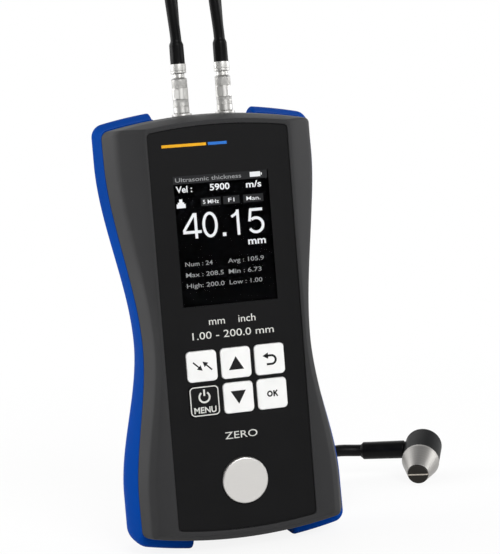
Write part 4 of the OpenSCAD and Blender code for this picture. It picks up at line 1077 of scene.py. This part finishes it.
class GAUGE_OT_display(bpy.types.Operator):
    """Lens, dark glass and lit readings"""
    bl_idname = "gauge.display"
    bl_label = "Display"

    def execute(self, context):
        g, f = sizes(context), finishes(context)
        dress(["display_lens"], f["lens"])
        dress(["lcd_module"], f["glass"])

        def at(shape):
            """A shape of the display's drawing, in its place."""
            return shape[0] * READING_UNIT + [0, g.display_centre], shape[1]

        def text(*row):
            return at(lettering(*row))

        lit = [text("Vel :", -20.3, -13, 21.6, 24.4, BOLD), text("5900", -5, 4, 21.6, 24.4, BOLD),
               text("m/s", 11.5, 18.5, 21.6, 24.4, BOLD), text("mm", 10.5, 18.6, -3.6, -0.4, BOLD)]
        # Battery with its pole; probe mark of three steps; the three small fields
        lit += [at(bar(*edges)) for edges in ((13.6, 18.4, 26.1, 28.3), (18.6, 19.1, 26.7, 27.7),
                                              (-20.5, -16.5, 14.8, 16.6), (-19.9, -17.1, 16.6, 17.3),
                                              (-19.2, -17.8, 17.3, 18.7))]
        lit += [text("5 MHz", -8.6, -1.4, 15.9, 17.6, MEDIUM), text("F1", 2.9, 5.7, 15.9, 17.6, MEDIUM),
                text("Man.", 11.2, 17.6, 15.9, 17.6, LIGHT)]
        # Large reading, each figure of strokes of even width: 4, 0, point, 1, 5
        w = FIGURE_WIDE
        figures = [stroke([(-12.6, 1), (-12.6, 12.2)], w), stroke([(-13, 12), (-18.2, 4.4)], w * 0.95),
                   stroke([(-18.5, 3.9), (-10.2, 3.9)], w),
                   stroke(ellipse(48, -6.2, 6.6, 2.85, 5.05), w, True),
                   bar(-0.75, 0.85, 1, 2.6),
                   stroke([(6.6, 1), (6.6, 12.2)], w), stroke([(6.7, 11.6), (5.6, 10.3), (3.7, 9.2)], w * 0.9),
                   stroke([(18, 11.6), (12.2, 11.6)], w), stroke([(12.6, 11.9), (11.8, 6.5)], w * 0.95),
                   stroke(arc(14.7, 4.75, 3.2, 3.15, 128, -152, 30), w)]
        lit += [at(figure) for figure in figures]
        dim = [text("Ultrasonic thickness", -20.3, 9.6, 26.2, 28, MEDIUM)]
        for z, left, right in ((-11, "Num : 24", "Avg : 105.9"), (-15.8, "Max : 208.5", "Min : 6.73"),
                               (-20.6, "High: 200.0", "Low : 1.00")):
            for words, x, wide in ((left, -18.8, 1.55), (right, 0.6, 1.5)):
                dim.append(text(words, x, x + wide * len(words), z, z + 1.9, REGULAR))
        boxes = [at(bar(*edges)) for edges in ((-21.5, 21.5, 25.3, 28.8), (-9.5, -0.5, 15, 18.5), (0.6, 8, 15, 18.5),
                                               (9.8, 19, 15, 18.5))]
        y = g.glass_face - READING_PROUD
        piece("reading_bars", joined(boxes, y), f["bar"])
        piece("reading_white", joined(lit, y - 0.01), f["lit"])
        piece("reading_grey", joined(dim, y - 0.01), f["dim"])
        return {"FINISHED"}


def arrow(tail, tip, shaft, head):
    """Straight arrow as one flat face: a shaft of even width and a triangular head."""
    a, b = np.array(tail, float), np.array(tip, float)
    d = (b - a) / np.linalg.norm(b - a)
    n = np.array([-d[1], d[0]])
    c, thin, broad = b - d * head, n * shaft / 2, n * head * 0.55
    return panel([a - thin, c - thin, c - broad, b, c + broad, c + thin, a + thin])


def arc(x, z, across, up, start, stop, steps=28):
    """Points of an elliptical arc, (x + across cos t, z + up sin t), between angles in degrees."""
    t = np.radians(np.linspace(start, stop, steps))
    return np.stack([x + across * np.cos(t), z + up * np.sin(t)], 1)


KEYS = ("arrows_key", "up_key", "return_key", "menu_key", "down_key", "ok_key")   # upper row first, from the left
KEY_EDGE = 0.45           # rounding of a key's front edge
FLANGE_AT, FLANGE_THICK, FLANGE_WIDE = 3.7, 0.8, 1.2   # flange behind the rim, its thickness, wider than the key
SYMBOL_PROUD = 0.012      # print in front of a key
DISC_THICK, DISC_EDGE = 6.2, 0.45   # zero disc, its bevel


def key_marks(g, name, x, z):
    """Flat shapes of a key's symbol round the key's centre."""
    if name == "arrows_key":
        return [arrow((x - 3.7, z + 1.9), (x + 0.15, z - 1.85), 0.62, 2.2),
                arrow((x + 4.2, z - 1.8), (x + 0.35, z + 1.95), 0.62, 2.2)]
    if name == "up_key":
        return [panel([(x - 3.3, z - 2.85), (x + 3.3, z - 2.85), (x, z + 2.75)])]
    if name == "down_key":
        return [panel([(x, z - 2.75), (x + 3.3, z + 2.85), (x - 3.3, z + 2.85)])]
    if name == "return_key":
        hook = np.vstack([[(x - 1.2, z + 1.5), (x + 0.6, z + 1.5)], arc(x + 0.8, z - 0.3, 1.8, 1.8, 85, -85),
                          [(x + 0.6, z - 2.1), (x - 1.4, z - 2.1)]])
        return [stroke(hook, 0.92), panel([(x - 3, z + 1.5), (x - 0.6, z + 0.15), (x - 0.6, z + 2.85)])]
    if name == "menu_key":
        frame_line = rounded_square(g.key_width - 1.0, g.key_radius - 0.2) + (x, z)
        return [stroke(frame_line, 0.45, True), stroke(arc(x, z + 1.7, 2.2, 2.2, 125, 415), 0.75),
                bar(x - 0.38, x + 0.38, z + 2.2, z + 4.9),
                lettering("MENU", x - 4.75, x + 4.75, z - 4.9, z - 2.4, 0.022)]
    return [stroke(ellipse(32, x - 1.05, z, 0.92, 1), 0.66, True),
            stroke([(x + 0.76, z - 1.3), (x + 0.76, z + 1.3)], 0.68),
            stroke([(x + 2.15, z + 1.3), (x + 0.9, z - 0.15)], 0.64),
            stroke([(x + 1.25, z + 0.3), (x + 2.25, z - 1.3)], 0.64)]


class GAUGE_OT_keys(bpy.types.Operator):
    """Six keys with soft edges and their symbols"""
    bl_idname = "gauge.keys"
    bl_label = "Keys"

    def execute(self, context):
        g, f = sizes(context), finishes(context)
        front, flange = g.y_overlay - g.key_proud, g.y_rim + FLANGE_AT
        for name, place in zip(KEYS, key_places(g)):
            cap, ink, slot = ("black_key", "print", "key_black") if name == "menu_key" else ("key", "ink", "key_white")
            # Cap: rounded squares that shrink over a quarter circle at the front edge, and a flange behind the wall
            rings = []
            for t in np.linspace(0, np.pi / 2, 7):
                d = KEY_EDGE * (1 - math.sin(t))
                outline = rounded_square(g.key_width - 2 * d, g.key_radius - d) + place
                rings.append(at_depth(outline, front + KEY_EDGE * (1 - math.cos(t))))
            for wider, y in ((0, flange), (FLANGE_WIDE, flange), (FLANGE_WIDE, flange + FLANGE_THICK)):
                rings.append(at_depth(rounded_square(g.key_width + wider, g.key_radius) + place, y))
            piece(name + "_cap", skin(np.stack(rings), flip=True, first=True, last=True), f[cap], body=name + "_body",
                  nodes=[name], sharp=35, weld=True)
            piece(name + "_symbol", joined(key_marks(g, name, *place), front - SYMBOL_PROUD), f[ink],
                  body=name + "_body")
        return {"FINISHED"}


class GAUGE_OT_zero_disc(bpy.types.Operator):
    """Ground steel zero disc"""
    bl_idname = "gauge.zero_disc"
    bl_label = "Zero disc"

    def execute(self, context):
        g, f = sizes(context), finishes(context)
        r, y = g.disc_diameter / 2, g.y_overlay - g.disc_proud
        rings = lathe(rounded([(r, DISC_THICK), (r, DISC_EDGE), (r - DISC_EDGE, 0), (r - 1.4, 0)], 0.25), 128)
        rings = np.stack([rings[..., 0], y + rings[..., 2], rings[..., 1] + g.disc_centre], -1)
        piece("zero_disc_steel", skin(rings, first=True, last=True), f["disc"], nodes=["zero_disc"],
              sharp=50)
        return {"FINISHED"}


# Connectors -------------------------------------------------------------------------------------


SOCKET_DEEP = 10.6                     # sockets and cores below the crown
SOCKET_R, FLANGE_R, SEAT_R, FLANGE_HIGH = 3.45, 4.3, 2.6, 1.4   # socket: body, flange, bore, height of the flange
COLLET_R, COLLET_BORE, COLLET_NECK = 3.35, 2.5, 0.15   # collet nut: radius, bore, depth of its groove
BOOT_R, BOOT_HIGH = 3.1, 10            # boots of the leads
COLLAR_HIGH, LOW_KNURL, HIGH_KNURL = 2.6, 3.4, 3.9   # heights of a sleeve's plain collar and its two knurled bands
SLEEVE_CROWN = 0.7                     # bevelled top above the upper band
KNURL_DEEP, KNURL_HIGH = 0.2, 0.14     # bands below the sleeve's surface, teeth above the bands
KNURL_LINES, KNURL_PITCH = 18, 5.3     # n and k of the knurl
FLAT_DEEP = 0.3                        # flats below the sleeve's surface


def knurled_sleeve(g, steps=144):
    """Rings of a push-pull sleeve from its foot, and the depth of the knurl's grooves on them: two bands with a diamond
    knurl |sin(na + kz)| |sin(na - kz)|, four flats between them (radius cut by a straight chord) and bevelled ends."""
    r, total = g.sleeve_diameter / 2, g.sleeve_length
    base, low_top, high_foot = COLLAR_HIGH, COLLAR_HIGH + LOW_KNURL, total - HIGH_KNURL - SLEEVE_CROWN
    z = np.unique(np.concatenate([
        [0, 0.2, base - 0.05, base, base + 0.2], np.linspace(base + 0.2, low_top - 0.2, 22),
        [low_top, low_top + 0.3, low_top + 0.34], np.linspace(low_top + 0.5, high_foot - 0.5, 6),
        [high_foot - 0.34, high_foot - 0.3, high_foot], np.linspace(high_foot + 0.2, total - 0.9, 24),
        [total - 0.7, total - 0.35, total]]))
    zz, aa = np.meshgrid(z, full_turn(steps), indexing="ij")
    band = ((zz > base + 0.1) & (zz < low_top - 0.1)) | ((zz > high_foot + 0.1) & (zz < total - 0.8))
    flats = (zz > low_top + 0.31) & (zz < high_foot - 0.31)
    knurl = np.abs(np.sin(aa * KNURL_LINES + zz * KNURL_PITCH)) * np.abs(np.sin(aa * KNURL_LINES - zz * KNURL_PITCH))
    chord = (r - FLAT_DEEP) / np.cos((aa % (np.pi / 2)) - np.pi / 4)
    radius = np.where(band, r - KNURL_DEEP + KNURL_HIGH * knurl, r)
    radius = np.where(flats, np.minimum(radius, chord), radius)
    for where, cut in ((zz < 0.1, 0.2), (zz > total - 0.5, 0.35), (zz > total - 0.1, 0.7)):
        radius = np.where(where, r - cut, radius)
    return np.stack([radius * np.cos(aa), radius * np.sin(aa), zz], -1), np.where(band, 1 - knurl, 0)


class GAUGE_OT_connectors(bpy.types.Operator):
    """Sockets, push-pull plugs and lead boots"""
    bl_idname = "gauge.connectors"
    bl_label = "Connectors"

    def execute(self, context):
        g, f = sizes(context), finishes(context)
        low, spot, flange, collet = g.crown_height - SOCKET_DEEP, g.spot_z, g.spot_z + FLANGE_HIGH, g.collet_z
        for side, sign in (("left", -1), ("right", 1)):
            at = np.array([sign * g.socket_x, g.socket_y, 0])
            profile = rounded([(SOCKET_R, low), (SOCKET_R, spot), (FLANGE_R, spot), (FLANGE_R, flange),
                               (SEAT_R, flange), (SEAT_R, spot)], 0.3)
            piece(side + "_socket_turning", skin(lathe(profile) + at, first=True, last=True), f["nickel"],
                  nodes=[side + "_socket"])

            rings, grooves = knurled_sleeve(g)
            n, inner = rings.shape[1], g.core_diameter / 2 + 0.07
            bore = lathe([(inner, g.sleeve_length), (inner, 0)], n)
            rings = np.concatenate([rings, bore]) + [0, 0, g.plug_z]
            sleeve = piece(side + "_sleeve_knurled", skin(rings + at, along=True), f["knurl"], body=side + "_sleeve",
                           nodes=[side + "_plug_sleeve"], sharp=28)
            # Depth of the knurl's grooves at each point, which sets the painted shade in them
            grooves = np.concatenate([grooves, np.zeros((2, n))])
            sleeve.data.attributes.new("groove", "FLOAT", "POINT").data.foreach_set("value", grooves.ravel())

            r = g.core_diameter / 2
            profile = rounded([(r, low), (r, g.lead_z - 4.2), (r - 0.15, g.lead_z - 4.1), (r - 0.15, g.lead_z)], 0.1)
            piece(side + "_core_turning", skin(lathe(profile) + at, first=True, last=True), f["nickel"],
                  nodes=[side + "_plug_core"])

            neck = COLLET_R - COLLET_NECK
            profile = rounded([(COLLET_BORE, collet), (COLLET_R, collet), (COLLET_R, collet + 0.7),
                               (neck, collet + 0.8), (neck, collet + 1.0), (COLLET_R, collet + 1.1),
                               (COLLET_R, collet + COLLET_HIGH), (COLLET_BORE, collet + COLLET_HIGH)], 0.18)
            piece(side + "_collet_nut_turning", skin(lathe(profile, 72) + at), f["nickel"],
                  nodes=[side + "_collet_nut"], sharp=30)

            # Boot: a shrunk sleeve with shallow folds along it, closing down to the lead
            h, a, inner = np.linspace(0, 1, 30)[:, None], full_turn(72), g.lead_diameter / 2 + 0.02
            folds = 0.07 * np.sin(a * 7 + 1.3 * sign) * np.sin(np.pi * h)
            radius = BOOT_R - 0.12 * h - 0.62 * ease((h - 0.8) / 0.2) + folds
            z = np.repeat(g.lead_z + BOOT_HIGH * h, len(a), 1)
            rings = np.stack([radius * np.cos(a), radius * np.sin(a), z], -1)
            bore = lathe([(inner, g.lead_z + BOOT_HIGH), (inner, g.lead_z)], len(a))
            piece(side + "_boot_sleeve", skin(np.concatenate([rings, bore]) + at, along=True), f["cable"],
                  nodes=[side + "_plug_boot"], sharp=50)
        dress(["left_socket_nut", "right_socket_nut"], f["nickel"])
        return {"FINISHED"}


# Probe ------------------------------------------------------------------------------------------


CAP_ROUND = 2.4          # rounding of the cap's back
RING_TURNS = 22          # tool marks along the ferrule's profile, for its UV
BOOT_LIP = 1.4           # rounded end of the boot


class GAUGE_OT_probe(bpy.types.Operator):
    """Dual-element probe with cap, ferrule and cable boot"""
    bl_idname = "gauge.probe"
    bl_label = "Probe"

    def execute(self, context):
        g, f = sizes(context), finishes(context)
        turn, base = probe_frame(g)

        def placed(rings):
            """Rings about the probe's own axis, set where the probe lies."""
            return rings @ turn.T + base

        start = g.cap_z
        tip, big, cap = g.tip_diameter / 2, g.ferrule_diameter / 2, g.cap_diameter / 2
        profile = rounded([(tip + 0.05, start - 3), (tip + 0.05, g.tip_out), (tip + 0.35, g.tip_out),
                           (big - 0.05, g.tip_out + g.cone_length - 0.1), (big, start - 0.15), (big - 0.2, start),
                           (big - 2, start)], 0.22)
        piece("ferrule_turning", skin(placed(lathe(profile, 128)), scale=(1, RING_TURNS)), f["turned"],
              nodes=["probe_ferrule"], sharp=35)

        # Cap: a straight wall and a back edge rounded by a quarter circle
        t, back = np.linspace(0, np.pi / 2, 9), start + g.cap_length
        profile = np.vstack([[(tip, start), (cap - 0.25, start), (cap, start + 0.25), (cap, start + 1)],
                             np.column_stack([np.full(10, cap), np.linspace(start + 2, back - 2.5, 10)]),
                             np.stack([cap - CAP_ROUND * (1 - np.cos(t)), back - CAP_ROUND * (1 - np.sin(t))], 1),
                             [(cap - 4, back)]])
        piece("cap_moulding", skin(placed(lathe(profile, 96)), last=True), f["cap"], nodes=["probe_cap"],
              sharp=40)

        # Boot: a collar and a smooth sleeve along local Y, closing down to the cable with a rounded lip
        r, foot, total, cable = g.boot_diameter / 2, cap + BOOT_GAP, g.boot_length, g.cable_diameter / 2
        h = np.concatenate([[0], np.linspace(0.3, total - BOOT_LIP, 60), np.linspace(total - 1.3, total, 5)])
        radius = r - 0.12 * ease(h / total) - (r - cable - 0.4) * ease((h - total + BOOT_LIP) / BOOT_LIP)
        radius[0] -= 0.25
        profile = np.vstack([[(r - 0.5, 5.2), (r - 0.5, foot)], np.stack([radius, foot + h], 1),
                             [(cable + 0.05, foot + total), (cable + 0.05, foot + total - CABLE_IN)]])
        rings = lathe(profile, 72)
        rings = np.stack([rings[..., 1], rings[..., 2], rings[..., 0] + start + BOOT_UP], -1)
        piece("probe_boot_sleeve", skin(placed(rings), first=True, last=True), f["cable"], nodes=["probe_boot"],
              sharp=50)
        dress(["send_line", "receive_line"], f["line"])
        dress(["acoustic_barrier"], f["cork"])
        dress(["send_crystal", "receive_crystal"], f["crystal"])
        dress(["probe_backing"], f["backing"])
        return {"FINISHED"}


STEPS = [GAUGE_OT_stage, GAUGE_OT_cable, GAUGE_OT_housing, GAUGE_OT_bumpers, GAUGE_OT_overlay, GAUGE_OT_display,
         GAUGE_OT_keys, GAUGE_OT_zero_disc, GAUGE_OT_connectors, GAUGE_OT_probe]


class GAUGE_PT_panel(bpy.types.Panel):
    """Lists the gauge's building steps"""
    bl_idname = "GAUGE_PT_panel"
    bl_label = "Thickness gauge"
    bl_space_type = "VIEW_3D"
    bl_region_type = "UI"
    bl_category = "Gauge"

    def draw(self, context):
        for step in STEPS:
            self.layout.operator(step.bl_idname)
        for group, kind in GROUPS.items():
            box = self.layout.box()
            for name in kind.__annotations__:
                box.prop(getattr(context.scene, group), name)


def register():
    """Registers the groups, the operators and the panel."""
    for name, kind in GROUPS.items():
        bpy.utils.register_class(kind)
        setattr(bpy.types.Scene, name, bpy.props.PointerProperty(type=kind))
    for kind in STEPS + [GAUGE_PT_panel]:
        bpy.utils.register_class(kind)


def unregister():
    """Takes them out again."""
    for kind in reversed(STEPS + [GAUGE_PT_panel]):
        bpy.utils.unregister_class(kind)
    for name, kind in GROUPS.items():
        delattr(bpy.types.Scene, name)
        bpy.utils.unregister_class(kind)


def main():
    """Builds everything in order."""
    register()
    for step in STEPS:
        space, name = step.bl_idname.split(".")
        if "FINISHED" not in getattr(getattr(bpy.ops, space), name)():
            raise RuntimeError(step.bl_idname + " didn't finish")
    bpy.context.view_layer.update()


if __name__ == "__main__":
    main()
